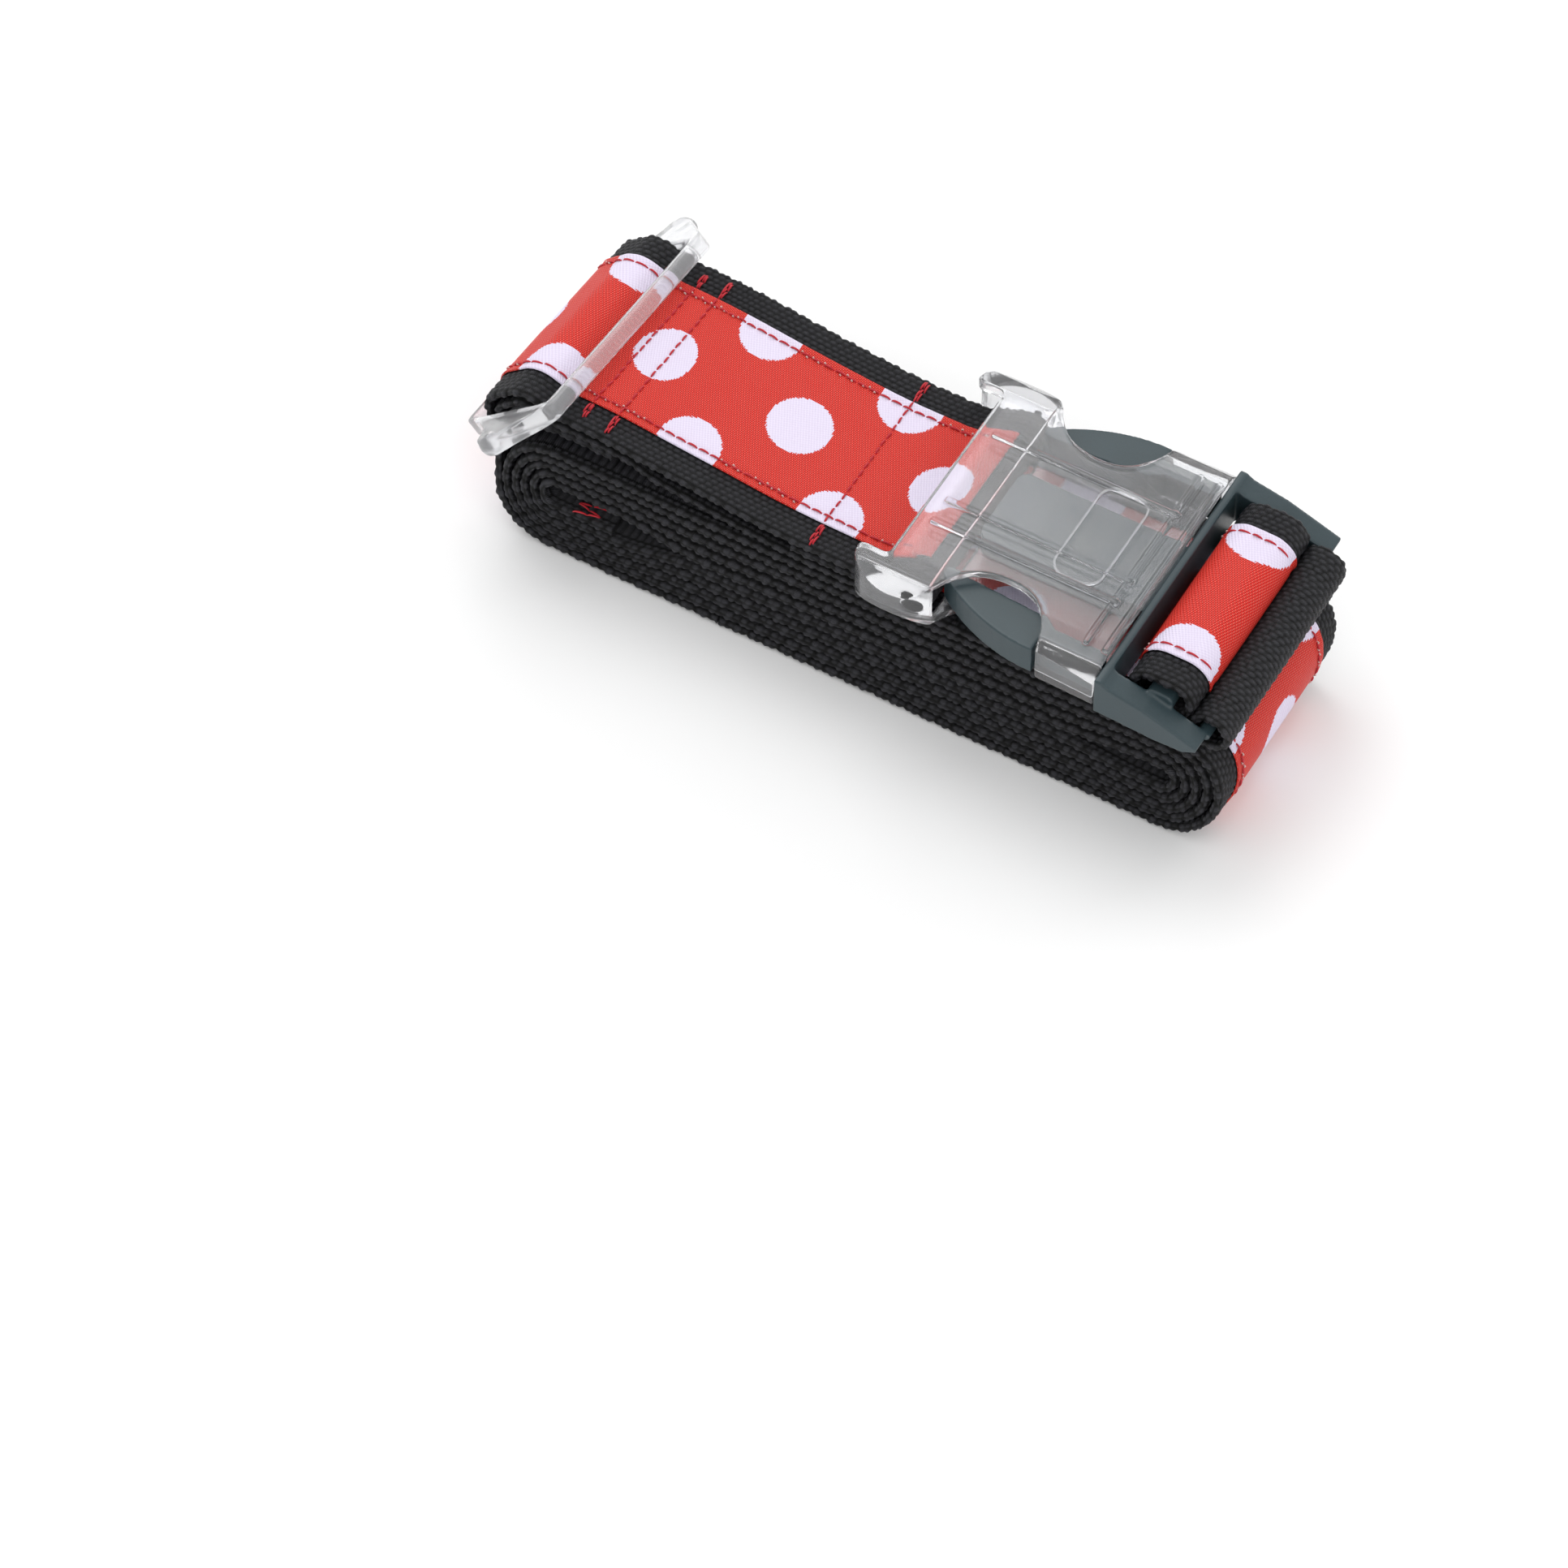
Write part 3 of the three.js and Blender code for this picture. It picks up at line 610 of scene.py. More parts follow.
def thread_material(name, tint):
    """Sewing thread of a given tint, with its twist as fine slanting bumps and bands of painted shade."""
    n = Nodes(name)
    x, y, z = n.split(n.place())
    twist = n.wave(n.math("ADD", x, n.math("ADD", y, z)), TWIST)
    dark = colour(*(v * SHADED for v in tint))
    # Painted shade: the twist's grooves are painted darker than its plies.
    shade = n.mix(n.math("MULTIPLY_ADD", twist, 0.3, 0.5), dark, colour(*tint))
    return n.set(Base_Color=shade, Roughness=0.5, Normal=n.bump(twist, 0.4, 0.0001), Sheen_Weight=0.1)


def clear_material(name, transmission, roughness):
    """Clear moulded plastic with a faint unevenness of its surface."""
    n = Nodes(name)
    where = n.place()
    grain = n.noise(where, 1100.0, 3.0, 0.6)
    patch = n.noise(where, 130.0, 2.0)
    height = n.math("ADD", n.math("MULTIPLY", grain, 0.5), patch)
    return n.set(
        Base_Color=n.mix(patch, colour(246, 247, 252), colour(255, 255, 255)),
        Roughness=n.math("MULTIPLY_ADD", grain, 0.12, roughness),
        Normal=n.bump(height, 0.22, 0.0002), IOR=1.40, Transmission_Weight=transmission,
        Specular_IOR_Level=0.6, Coat_Weight=0.3, Coat_Roughness=0.10,
    )


def charcoal_material():
    """Satin charcoal plastic with a fine grain."""
    n = Nodes("charcoal_plastic")
    where = n.place()
    grain = n.noise(where, 1500.0, 3.0, 0.65)
    patch = n.noise(where, 60.0, 2.0)
    shade = n.mix(patch, colour(42, 55, 59), colour(53, 68, 73))
    return n.set(
        Base_Color=n.mix(n.math("MULTIPLY", grain, 0.3), shade, colour(64, 80, 86)),
        Roughness=n.math("MULTIPLY_ADD", grain, 0.14, 0.30),
        Normal=n.bump(grain, 0.18, 0.0001), Specular_IOR_Level=0.5,
    )


black = webbing_material()
dotted = ribbon_material()
crimson = thread_material("crimson_thread", (215, 20, 44))
pale = thread_material("pale_thread", (250, 205, 200))
clear = clear_material("clear_plastic", transmission=0.955, roughness=0.05)
milky = clear_material("milky_plastic", transmission=0.86, roughness=0.12)
charcoal = charcoal_material()

# ------------------------ webbing and ribbon pieces

WEBBING_WIDTH = 2 * HALF_WIDTH
RIBBON_WIDTH = 2 * RIBBON_HALF
FINE = 0.31
COARSE = 2.2
MARGIN_FROM = RIBBON_HALF - 1.0
margin_section = section(HALF_WIDTH, HALF, MARGIN_FROM, FINE, COARSE)
edge_section = section(HALF_WIDTH, HALF + 0.12, 22.4, FINE, 5.0)
thick_section = section(HALF_WIDTH, HALF + 0.06, MARGIN_FROM, FINE, COARSE)
full_section = section(HALF_WIDTH, HALF, 1.0, FINE, FINE)
ribbon_section = section(RIBBON_HALF, RIBBON / 2, 15.0, 0.35, 1.5)
hidden_ribbon_section = section(RIBBON_HALF, RIBBON / 2, 17.0, 0.6, 6.0)
RIBBON_LIFT = HALF + 0.5 * RIBBON_GAP + RIBBON / 2 + 0.05

# The band's dots are counted from the one nearest to the slider, the roll's from its right end, and
# the link strap's so that two edge dots lie on top of its fold round the male bar.
FIRST_DOT_X = 8.6
BURIED = 45  # the roll's outer piece starts this far before its left end
band_phase = band_route.where(FIRST_DOT_X, BAND_Z)
fold_phase = upper_route.where(MALE_BAR[0], MALE_BAR[1] + LOOP_RADIUS) + DOT_PERIOD / 2
roll_split = roll_route.length - (ROLL_RUN - ROLL_END) - math.pi * ROLL_RADIUS - BURIED
end_phase = roll_route.length - (ROLL_RUN - ROLL_END) - 0.42 * math.pi * ROLL_RADIUS
bend_end = upper_route.where(BEND_X, LINK_Z + 2 * BEND_RADIUS)
ribbon_start = link_route.where(4, LINK_Z + STEP_UP)
band_ribbon_end = band_route.where(FEMALE_BAR[0], FEMALE_BAR[1] + FEMALE_WRAP)
male_ribbon_end = upper_route.where(MALE_BAR[0] + MALE_BAR_FLAT + LOOP_RADIUS, MALE_BAR[1] - 1)
deep = webbing_relief(0.46)
shallow = webbing_relief(0.36)

CLOTHS = {"webbing": (WEBBING_WIDTH, 0.0, black), "ribbon": (RIBBON_WIDTH, RIBBON_LIFT, dotted)}


def strap_piece(name, body, node, slot, route, s0, s1, outline, pitch, relief, **more):
    """A piece of strap that rides a body, or none where it is blended."""
    width, lift, material = CLOTHS[slot]
    piece = fabric(name, route, s0, s1, outline, pitch, relief, lift, material, **more)
    if body is not None:
        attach(piece, body)
    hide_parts(node)
    return piece


strap_piece(
    "roll_inner_webbing", "strap", "main_roll_webbing", "webbing", roll_route, 0, roll_split,
    edge_section, 0.42, deep, even=True,
)
strap_piece(
    "roll_outer_webbing", "strap", "main_roll_webbing", "webbing", roll_route, roll_split, roll_route.length,
    thick_section, 0.34, deep, even=True,
)
strap_piece(
    "roll_inner_ribbon", "strap", "main_roll_ribbon", "ribbon", roll_route, 0, roll_split,
    hidden_ribbon_section, 1.2, ribbon_relief, even=True,
)
strap_piece(
    "roll_outer_ribbon", "strap", "main_roll_ribbon", "ribbon", roll_route, roll_split, roll_route.length,
    ribbon_section, 0.6, ribbon_relief, phase=end_phase, even=True,
)
strap_piece(
    "band_webbing", "strap", "main_band_webbing", "webbing", band_route, 0, band_route.length,
    margin_section, 0.34, shallow, skew=True,
)
strap_piece(
    "band_ribbon", "strap", "main_band_ribbon", "ribbon", band_route, 0, band_ribbon_end,
    ribbon_section, 0.5, ribbon_relief, phase=band_phase, skew=True,
)
strap_piece(
    "link_run_webbing", "strap", "link_lower_webbing", "webbing", link_route, 0, link_route.length,
    margin_section, 0.36, shallow, skew=True,
)
strap_piece(
    "link_run_ribbon", "strap", "link_lower_ribbon", "ribbon", link_route, ribbon_start, link_route.length,
    ribbon_section, 0.7, ribbon_relief, phase=link_route.length, skew=True,
)
bend = strap_piece(
    "link_bend_webbing", None, "link_upper_webbing", "webbing", upper_route, 0, bend_end,
    full_section, 0.34, shallow,
)
bend_ribbon = strap_piece(
    "link_bend_ribbon", None, "link_upper_ribbon", "ribbon", upper_route, 0, bend_end,
    ribbon_section, 0.6, ribbon_relief,
)
strap_piece(
    "male_loop_webbing", "plug", "link_upper_webbing", "webbing", upper_route, bend_end, upper_route.length,
    full_section, 0.34, shallow,
)
strap_piece(
    "male_loop_ribbon", "plug", "link_upper_ribbon", "ribbon", upper_route, bend_end, male_ribbon_end,
    ribbon_section, 0.5, ribbon_relief, phase=fold_phase,
)

for piece in (bend, bend_ribbon):
    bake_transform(piece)

# ------------------------ stitches

THREAD_RADIUS = 0.24
PINHOLE_RADIUS = 0.19
SUNK = 0.22  # how deep the ends of a stitch go into the strap
RINGS = 7
SIDES = 6


def stitch_mesh(name, runs, radius, material):
    """Sewn stitches. runs holds the start, the end and the way out of each stitch, in millimetres."""
    t = np.linspace(0, 1, RINGS)
    around = np.linspace(0, 2 * math.pi, SIDES, endpoint=False)
    verts, faces = [], []
    for start, end, out in runs:
        start, end, out = (np.array(v, float) for v in (start, end, out))
        along = (end - start) / np.linalg.norm(end - start)
        side = np.cross(along, out)
        rise = np.sqrt(np.clip(4 * t * (1 - t), 0, 1)) * (radius + SUNK) - SUNK
        line = start + np.outer(t, end - start) + np.outer(rise, out)
        girth = radius * (0.75 + 0.25 * np.sin(math.pi * t))
        first = len(verts)
        for centre, r in zip(line, girth):
            for a in around:
                verts.append(centre + r * (math.cos(a) * side + math.sin(a) * out))
        for i in range(RINGS - 1):
            for j in range(SIDES):
                k = (j + 1) % SIDES
                a, b = first + i * SIDES, first + (i + 1) * SIDES
                faces.append((a + j, a + k, b + k, b + j))
        faces.append(tuple(first + j for j in range(SIDES))[::-1])
        faces.append(tuple(first + (RINGS - 1) * SIDES + j for j in range(SIDES)))
    mesh = bpy.data.meshes.new(name)
    places = [((x + ORIGIN_X) * MM, y * MM, max(z, FLOOR_GAP) * MM) for x, y, z in verts]
    mesh.from_pydata(places, [], faces)
    mesh.polygons.foreach_set("use_smooth", [True] * len(faces))
    mesh.materials.append(material)
    tidy = bmesh.new()
    tidy.from_mesh(mesh)
    bmesh.ops.recalc_face_normals(tidy, faces=tidy.faces)
    tidy.to_mesh(mesh)
    tidy.free()
    return added(name, mesh)


def on_strap(route, s, w, lift, even=False):
    """A point on a strap's face and the way out of it."""
    x, z, nx, nz = (float(v) for v in route.at(s))
    n = lift + float(sway(s, w))
    px, pz = x + nx * n, z + nz * n
    if even:
        px, pz = (float(v) for v in evened(px, pz))
    py = w + float(drift(pz))
    if not even:
        px, py, pz = (float(v) for v in settled(px, py, pz))
    return np.array([px, py, max(pz, THREAD_RADIUS)]), np.array([nx, 0, nz])


FACE = RIBBON_LIFT + RIBBON / 2
WEB_FACE = HALF + 0.08
CROSS_STITCH = 2.3
ALONG_STITCH = (0.10, 0.98)  # where a stitch starts and ends, as shares of the pitch
ACROSS_STITCH = (0.10, 0.99)
ALONG_WANDER = 0.12
ACROSS_WANDER = 0.15
rng = random.Random(7)


def wander(most):
    """A small random step to either side."""
    return rng.uniform(-most, most)


def along_seam(route, s0, s1, w, even=False):
    """A row of stitches along the ribbon."""
    runs = []
    for i in range(int((s1 - s0) / STITCH)):
        a, b = (s0 + (i + share) * STITCH for share in ALONG_STITCH)
        start, out = on_strap(route, a, w + wander(ALONG_WANDER), FACE, even)
        end, _ = on_strap(route, b, w + wander(ALONG_WANDER), FACE, even)
        runs.append((start, end, out))
    return runs


def across_seam(route, s, w0, w1, lift, pitch=CROSS_STITCH):
    """A row of stitches across a strap, with a whole number of them between its two ends."""
    runs = []
    count = max(1, round((w1 - w0) / pitch))
    pitch = (w1 - w0) / count
    for i in range(count):
        a, b = (w0 + (i + share) * pitch for share in ACROSS_STITCH)
        start, out = on_strap(route, s + wander(ACROSS_WANDER), a, lift)
        end, _ = on_strap(route, s + wander(ACROSS_WANDER), b, lift)
        runs.append((start, end, out))
    return runs


def seam_piece(name, body, nodes, runs):
    """Crimson stitches that ride a body and, where the CAD model has them, replace its nodes."""
    piece = stitch_mesh(name, runs, THREAD_RADIUS, crimson)
    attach(piece, body)
    if nodes:
        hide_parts(*nodes)


DOT_CLEAR = 0.5
PINHOLE_LIFT = FACE + 0.04
PINHOLE_MISSING = 0.2
PINHOLE_PLACES = ((0.02, 0.28), (0.55, -0.35))  # along a stitch, as a share of it, and beside it


def on_dot(s, w):
    """Whether a place on a ribbon, counted from its dots, falls on an edge dot."""
    u = (s + DOT_PERIOD / 2) % DOT_PERIOD
    u = min(u, DOT_PERIOD - u)
    return math.hypot(u, abs(w) - DOT_ROW) < DOT_RADIUS + DOT_CLEAR


def pinholes(route, s0, s1, w, phase, even=False):
    """Small pale flecks beside each stitch in the red, away from the dots, with some left out."""
    runs = []
    for i in range(int((s1 - s0) / STITCH)):
        for share, beside in PINHOLE_PLACES:
            a = s0 + (i + share) * STITCH
            if on_dot(a - phase, w) or rng.random() < PINHOLE_MISSING:
                continue
            place = w + beside + wander(ACROSS_WANDER)
            start, out = on_strap(route, a, place, PINHOLE_LIFT, even)
            end, _ = on_strap(route, a + rng.uniform(0.4, 0.65), place + wander(0.2), PINHOLE_LIFT, even)
            runs.append((start, end, out))
    return runs


# The visible runs whose ribbon has edge seams: the body, the route, its two ends and where its dots start.
SEWN_RUNS = {
    "band": ("strap", band_route, band_route.where(-16, 18), band_ribbon_end - 3, band_phase),
    "roll": ("strap", roll_route, roll_split + 30, roll_route.length - 60, end_phase),
    "male_fold": ("plug", upper_route, bend_end + 6, male_ribbon_end - 1, fold_phase),
}

for side, word in ((-1, "near"), (1, "far")):
    for run, (body, route, s0, s1, phase) in SEWN_RUNS.items():
        holes = pinholes(route, s0, s1, side * SEAM_W, phase, even=(run == "roll"))
        flecks = stitch_mesh(f"{run}_pinholes_{word}", holes, PINHOLE_RADIUS, pale)
        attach(flecks, body)
    for run, (body, route, s0, s1, _) in SEWN_RUNS.items():
        nodes = [f"band_edge_seam_{word}"] if run == "band" else []
        stitches = along_seam(route, s0, s1, side * SEAM_W, even=(run == "roll"))
        seam_piece(f"{run}_edge_seam_{word}_stitches", body, nodes, stitches)


def back_tack(route, s, w0, w1, lift):
    """The doubled ends of a cross seam, sewn back and forth three times."""
    return (
        across_seam(route, s, w0, w1, lift, 2.0)
        + across_seam(route, s + 0.55, w0 + 0.3, w1 - 0.4, lift + 0.10, 2.4)
        + across_seam(route, s - 0.35, w0 + 1.0, w1 - 0.2, lift + 0.14, 2.9)
    )


def cross_rows(x, ends):
    """A seam across the band at x, with back tacks from the ribbon's edges out to the given half width."""
    s = band_route.where(x, BAND_Z)
    runs = across_seam(band_route, s, -RIBBON_HALF, RIBBON_HALF, FACE)
    for side in (-1, 1):
        low, high = sorted((side * RIBBON_HALF, side * ends))
        runs += back_tack(band_route, s, low, high, WEB_FACE)
    return runs


# Each cross seam's place along the band and the half width that it reaches.
CROSS_SEAMS = {"slider_seam_left": (3.4, 22.6), "slider_seam_right": (9.6, 23.6), "buckle_seam": (59.0, 24.4)}
for seam, (x, ends) in CROSS_SEAMS.items():
    seam_piece(f"{seam}_stitches", "strap", [seam], cross_rows(x, ends))

LOOP_SEAM_HALF = 23
seam_piece(
    "male_loop_seam_stitches", "plug", ["male_loop_seam"],
    across_seam(upper_route, upper_route.length - LOOP_TAIL, -LOOP_SEAM_HALF, LOOP_SEAM_HALF, WEB_FACE),
)


def zigzag(route, s0, s1, w0, w1, lift, pitch):
    """A zigzag seam on a strap's inner face."""
    runs = []
    count = int((w1 - w0) / pitch)
    for i in range(count):
        a, b = (s0, s1) if i % 2 else (s1, s0)
        start, out = on_strap(route, a, w0 + i * pitch, -lift, True)
        end, _ = on_strap(route, b, w0 + (i + 1) * pitch, -lift, True)
        middle = (start + end) / 2
        runs += [(start, middle, -out), (middle, end, -out)]
    return runs


HEM_FROM, HEM_TO = 3.5, 9.5
HEM_HALF = 24.6
HEM_STITCH = 1.2
seam_piece(
    "tail_hem_stitches", "strap", ["tail_hem_seam"],
    zigzag(roll_route, HEM_FROM, HEM_TO, -HEM_HALF, HEM_HALF, HALF + 0.2, HEM_STITCH),
)

# ------------------------ moulded plastic


def prism(points, low, high, axis="z"):
    """A closed prism from an outline, in millimetres."""
    place = {
        "z": lambda a, b, level: (a, b, level),
        "y": lambda a, b, level: (a, level, b),
        "x": lambda a, b, level: (level, a, b),
    }[axis]
    n = len(points)
    verts = [place(a, b, level) for level in (low, high) for a, b in points]
    faces = [list(range(n)), list(range(n, 2 * n))]
    faces += [[i, (i + 1) % n, (i + 1) % n + n, i + n] for i in range(n)]
    work = bmesh.new()
    made = [work.verts.new(v) for v in verts]
    for face in faces:
        work.faces.new([made[i] for i in face])
    bmesh.ops.recalc_face_normals(work, faces=work.faces)
    mesh = bpy.data.meshes.new("prism")
    work.to_mesh(mesh)
    work.free()
    return mesh


def block(low, high):
    """A box between two opposite corners."""
    (x0, y0, z0), (x1, y1, z1) = low, high
    return prism([(x0, y0), (x1, y0), (x1, y1), (x0, y1)], z0, z1)


ARC_STEPS = 8
CIRCLE_STEPS = 28
CURVE_STEPS = 10


def arc(cx, cy, radius, first, last, steps=ARC_STEPS):
    return [
        (cx + radius * math.cos(a), cy + radius * math.sin(a)) for a in np.linspace(first, last, steps + 1)
    ]


def circle(cx, cy, radius):
    return arc(cx, cy, radius, 0, 2 * math.pi, CIRCLE_STEPS)[:-1]


def rounded(x0, y0, x1, y1, r):
    """A rectangle's outline with round corners."""
    q = math.pi / 2
    return (
        arc(x1 - r, y0 + r, r, -q, 0) + arc(x1 - r, y1 - r, r, 0, q)
        + arc(x0 + r, y1 - r, r, q, 2 * q) + arc(x0 + r, y0 + r, r, 2 * q, 3 * q)
    )


def ellipsoid(centre, radii):
    work = bmesh.new()
    bmesh.ops.create_icosphere(work, subdivisions=3, radius=1)
    mesh = bpy.data.meshes.new("ellipsoid")
    work.to_mesh(mesh)
    work.free()
    mesh.transform(Matrix.Translation(centre) @ Matrix.Diagonal((*radii, 1)))
    return mesh


def bezier(start, one, two, end):
    """A cubic curve's points after its start, drawn to its end by two control points."""
    t = np.linspace(0, 1, CURVE_STEPS + 1)[1:, None]
    a, b, c, d = (np.array(p, float) for p in (start, one, two, end))
    curve = (1 - t) ** 3 * a + 3 * (1 - t) ** 2 * t * b + 3 * (1 - t) * t * t * c + t ** 3 * d
    return [tuple(p) for p in curve]


def joined(meshes):
    work = bmesh.new()
    for mesh in meshes:
        work.from_mesh(mesh)
    mesh = bpy.data.meshes.new("joined")
    work.to_mesh(mesh)
    work.free()
    return mesh


def applied(piece):
    """The mesh of a piece with its modifiers applied."""
    graph = bpy.context.evaluated_depsgraph_get()
    return bpy.data.meshes.new_from_object(piece.evaluated_get(graph))


def boolean(mesh, others, operation):
    """A mesh after a cut, or an intersection, with the others taken together."""
    piece, tool = added("work", mesh), added("work", joined(others))
    modifier = piece.modifiers.new("boolean", "BOOLEAN")
    modifier.operation = operation
    modifier.object = tool
    modifier.solver = "EXACT"
    modifier.use_self = True
    made = applied(piece)
    for used in (piece, tool):
        bpy.data.objects.remove(used)
    return made


def plastic(name, mesh, material, body):
    """A piece of plastic from a mesh in millimetres, riding a body."""
    mesh.name = name
    mesh.transform(Matrix.Scale(MM, 4) @ Matrix.Translation((ORIGIN_X, 0, 0)))
    mesh.materials.clear()
    mesh.materials.append(material)
    made = added(name, mesh)
    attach(made, body)
    return made


def moulded(name, meshes, voxel, passes, material, body, nodes, place=None):
    """Overlapping closed meshes fused, with every edge softened as in a moulding.

    place tilts a piece into the fold over the slider, and it settles there with the strap.
    """
    piece = added("work", joined(meshes))
    remesh = piece.modifiers.new("remesh", "REMESH")
    remesh.mode = "VOXEL"
    remesh.voxel_size = voxel
    relax = piece.modifiers.new("relax", "SMOOTH")
    relax.factor = 0.5
    relax.iterations = passes
    mesh = applied(piece)
    bpy.data.objects.remove(piece)
    if place is not None:
        mesh.transform(place)
        for vertex in mesh.vertices:
            vertex.co = [float(value) for value in settled(*vertex.co)]
    mesh.polygons.foreach_set("use_smooth", [True] * len(mesh.polygons))
    made = plastic(name, mesh, material, body)
    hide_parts(*nodes)


# The slider, drawn flat round its centre bar and then tilted.
SLIDER_LEFT = 13.9
SLIDER_SLOT = HALF_WIDTH + 0.8
SLIDER_BEVEL = 1.3
SLIDER_HALF = 2.1
SLIDER_REACH = SLIDER_PITCH + 1.9
SLIDER_INSIDE = SLIDER_PITCH - 1.6
BAR_END = 25.5
CENTRE_BAR_THICK = 1.1
PADDLE = 34.2
PADDLE_RADII = (3.2, 2.5, 2.6)
BEYOND = 0.1  # how far a cutting piece stands out past what it cuts


def bar_corner(edge, inward, sz):
    """A wedge that takes one long corner off a bar."""
    face = sz * (SLIDER_HALF + BEYOND)
    return [(edge, face), (edge + inward * SLIDER_BEVEL, face), (edge, sz * (SLIDER_HALF - SLIDER_BEVEL))]


def slider_outline():
    """Three bars' frame with a rounded paddle at each end, leaning to the left."""
    reach, left = SLIDER_REACH, -SLIDER_LEFT
    half = [(reach, BAR_END)]
    for one, two, end in (
        ((reach, BAR_END + 2.2), (9.6, 30.6), (5.0, 33.6)),
        ((2.6, 36.2), (-1.4, 36.8), (-2.4, 34.4)),
        ((-3.2, 31.0), (-5.5, 28.0), (left + 2.4, 27.0)),
        ((left + 1, 26.8), (left + 0.4, 26.2), (left + 0.4, 25.0)),
    ):
        half += bezier(half[-1], one, two, end)
    return half + [(x, -y) for x, y in half[::-1]]


def slider_meshes():
    inside = SLIDER_INSIDE
    corners = [
        prism(bar_corner(edge, inward, sz), -length, length, "y")
        for sz in (-1, 1)
        for edge, inward, length in (
            (SLIDER_REACH + BEYOND, -1, 45),
            (inside - BEYOND, 1, SLIDER_SLOT),
            (-inside + BEYOND, -1, SLIDER_SLOT),
        )
    ]
    opening = prism(rounded(-inside, -SLIDER_SLOT, inside, SLIDER_SLOT, 1.5), -10, 10)
    bars = boolean(prism(slider_outline(), -SLIDER_HALF, SLIDER_HALF), [opening], "DIFFERENCE")
    hollow = boolean(bars, corners, "DIFFERENCE")
    thick = CENTRE_BAR_THICK
    centre = prism(rounded(-BAR_HALF, -thick, BAR_HALF, thick, 0.9), -28, 28, "y")
    tips = [ellipsoid((0.9, side * PADDLE, 0), PADDLE_RADII) for side in (-1, 1)]
    return [hollow, centre, *tips]


tilt = Matrix.Translation((CENTRE_BAR[0], 0, CENTRE_BAR[1])) @ Matrix.Rotation(-SLIDER_TILT, 4, "Y")
moulded(
    "clear_slider", slider_meshes(), voxel=0.32, passes=14, material=milky,
    body="slider", nodes=["slider"], place=tilt,
)

# The female buckle.
MOUTH_HALF = 30.3
END_HALF = 23.0
EAR_HALF = 30.6
EAR_REACH = 6.5
WINDOW_FROM = BUCKLE_END - 38
WINDOW_TO = BUCKLE_END - 13.7
WINDOW_HALF = 18.0
WALL = 1.9
SHOULDER_HALF = 26.6
RIB_ROWS = (12.6, -6.8, -12.7)
RIB_HALF = 0.65
RIB_HEIGHT = 0.85
RIM_PLACES = (121.4, 125.7)
RIM_WIDTH = 1.0
RIM_HEIGHT = 0.6
BACK_WALL = BUCKLE_X + 10.5
STRAP_SLOT_HALF = 25.6


def female_plan():
    """The female buckle from above: ears at the strap, finger windows and a wide mouth."""
    x = BUCKLE_X
    side = [(x, END_HALF)]
    for one, two, end in (
        ((x - 0.5, END_HALF + 2), (x - EAR_REACH + 1, END_HALF - 0.5), (x - EAR_REACH, END_HALF + 1.5)),
        ((x - EAR_REACH - 0.6, END_HALF + 5.5), (x - 1, EAR_HALF), (x + 3, EAR_HALF)),
        ((x + 8, EAR_HALF), (x + 10, EAR_HALF - 1.5), (WINDOW_FROM, EAR_HALF - 4.2)),
        ((WINDOW_FROM + 3, WINDOW_HALF + 2), (WINDOW_FROM + 7, WINDOW_HALF), (WINDOW_FROM + 13, WINDOW_HALF)),
        ((WINDOW_TO - 5, WINDOW_HALF), (WINDOW_TO - 1, WINDOW_HALF + 4), (WINDOW_TO, MOUTH_HALF - 1)),
    ):
        side += bezier(side[-1], one, two, end)
    side.append((BUCKLE_END, MOUTH_HALF))
    return side + [(a, -b) for a, b in side[::-1]]


def female_meshes():
    wide = EAR_HALF + 0.4
    low, top = BUCKLE_Z, BUCKLE_TOP
    body_section = [
        (-wide, low + 3.5), (-wide + 3.5, low), (wide - 3.5, low), (wide, low + 3.5), (wide, top - 4.5),
        (wide - 3, top - 1.2), (wide - 9, top), (-wide + 9, top), (-wide + 3, top - 1.2), (-wide, top - 4.5),
    ]
    slab = prism(body_section, BUCKLE_X - 20, BUCKLE_END + 20, "x")
    outer = boolean(prism(female_plan(), low, top), [slab], "INTERSECT")
    socket = block((BACK_WALL, -SHOULDER_HALF, low + WALL), (BUCKLE_END + 1, SHOULDER_HALF, top - WALL))
    strap_slot = block(
        (BUCKLE_X - 20, -STRAP_SLOT_HALF, low - 1), (BACK_WALL + 0.5, STRAP_SLOT_HALF, top - 3.2),
    )
    hollow = boolean(outer, [socket], "DIFFERENCE")
    hollow = boolean(hollow, [strap_slot], "DIFFERENCE")
    for side in (-1, 1):
        y0, y1 = sorted((side * 15, side * 40))
        window = block((WINDOW_FROM + 1, y0, low + WALL), (WINDOW_TO - 0.2, y1, top - WALL))
        hollow = boolean(hollow, [window], "DIFFERENCE")
    bar = prism(circle(*FEMALE_BAR, 1.8), -27, 27, "y")
    ribs = [
        block((BUCKLE_X + 3.5, y - RIB_HALF, top - 0.5), (BUCKLE_END - 4, y + RIB_HALF, top + RIB_HEIGHT))
        for y in RIB_ROWS
    ]
    rims = [
        block((x, -MOUTH_HALF + 6, top - 0.4), (x + RIM_WIDTH, MOUTH_HALF - 6, top + RIM_HEIGHT))
        for x in RIM_PLACES
    ]
    return [hollow, bar, *ribs, *rims]


moulded(
    "clear_female_buckle", female_meshes(), voxel=0.26, passes=3, material=clear,
    body="strap", nodes=["female_buckle"],
)

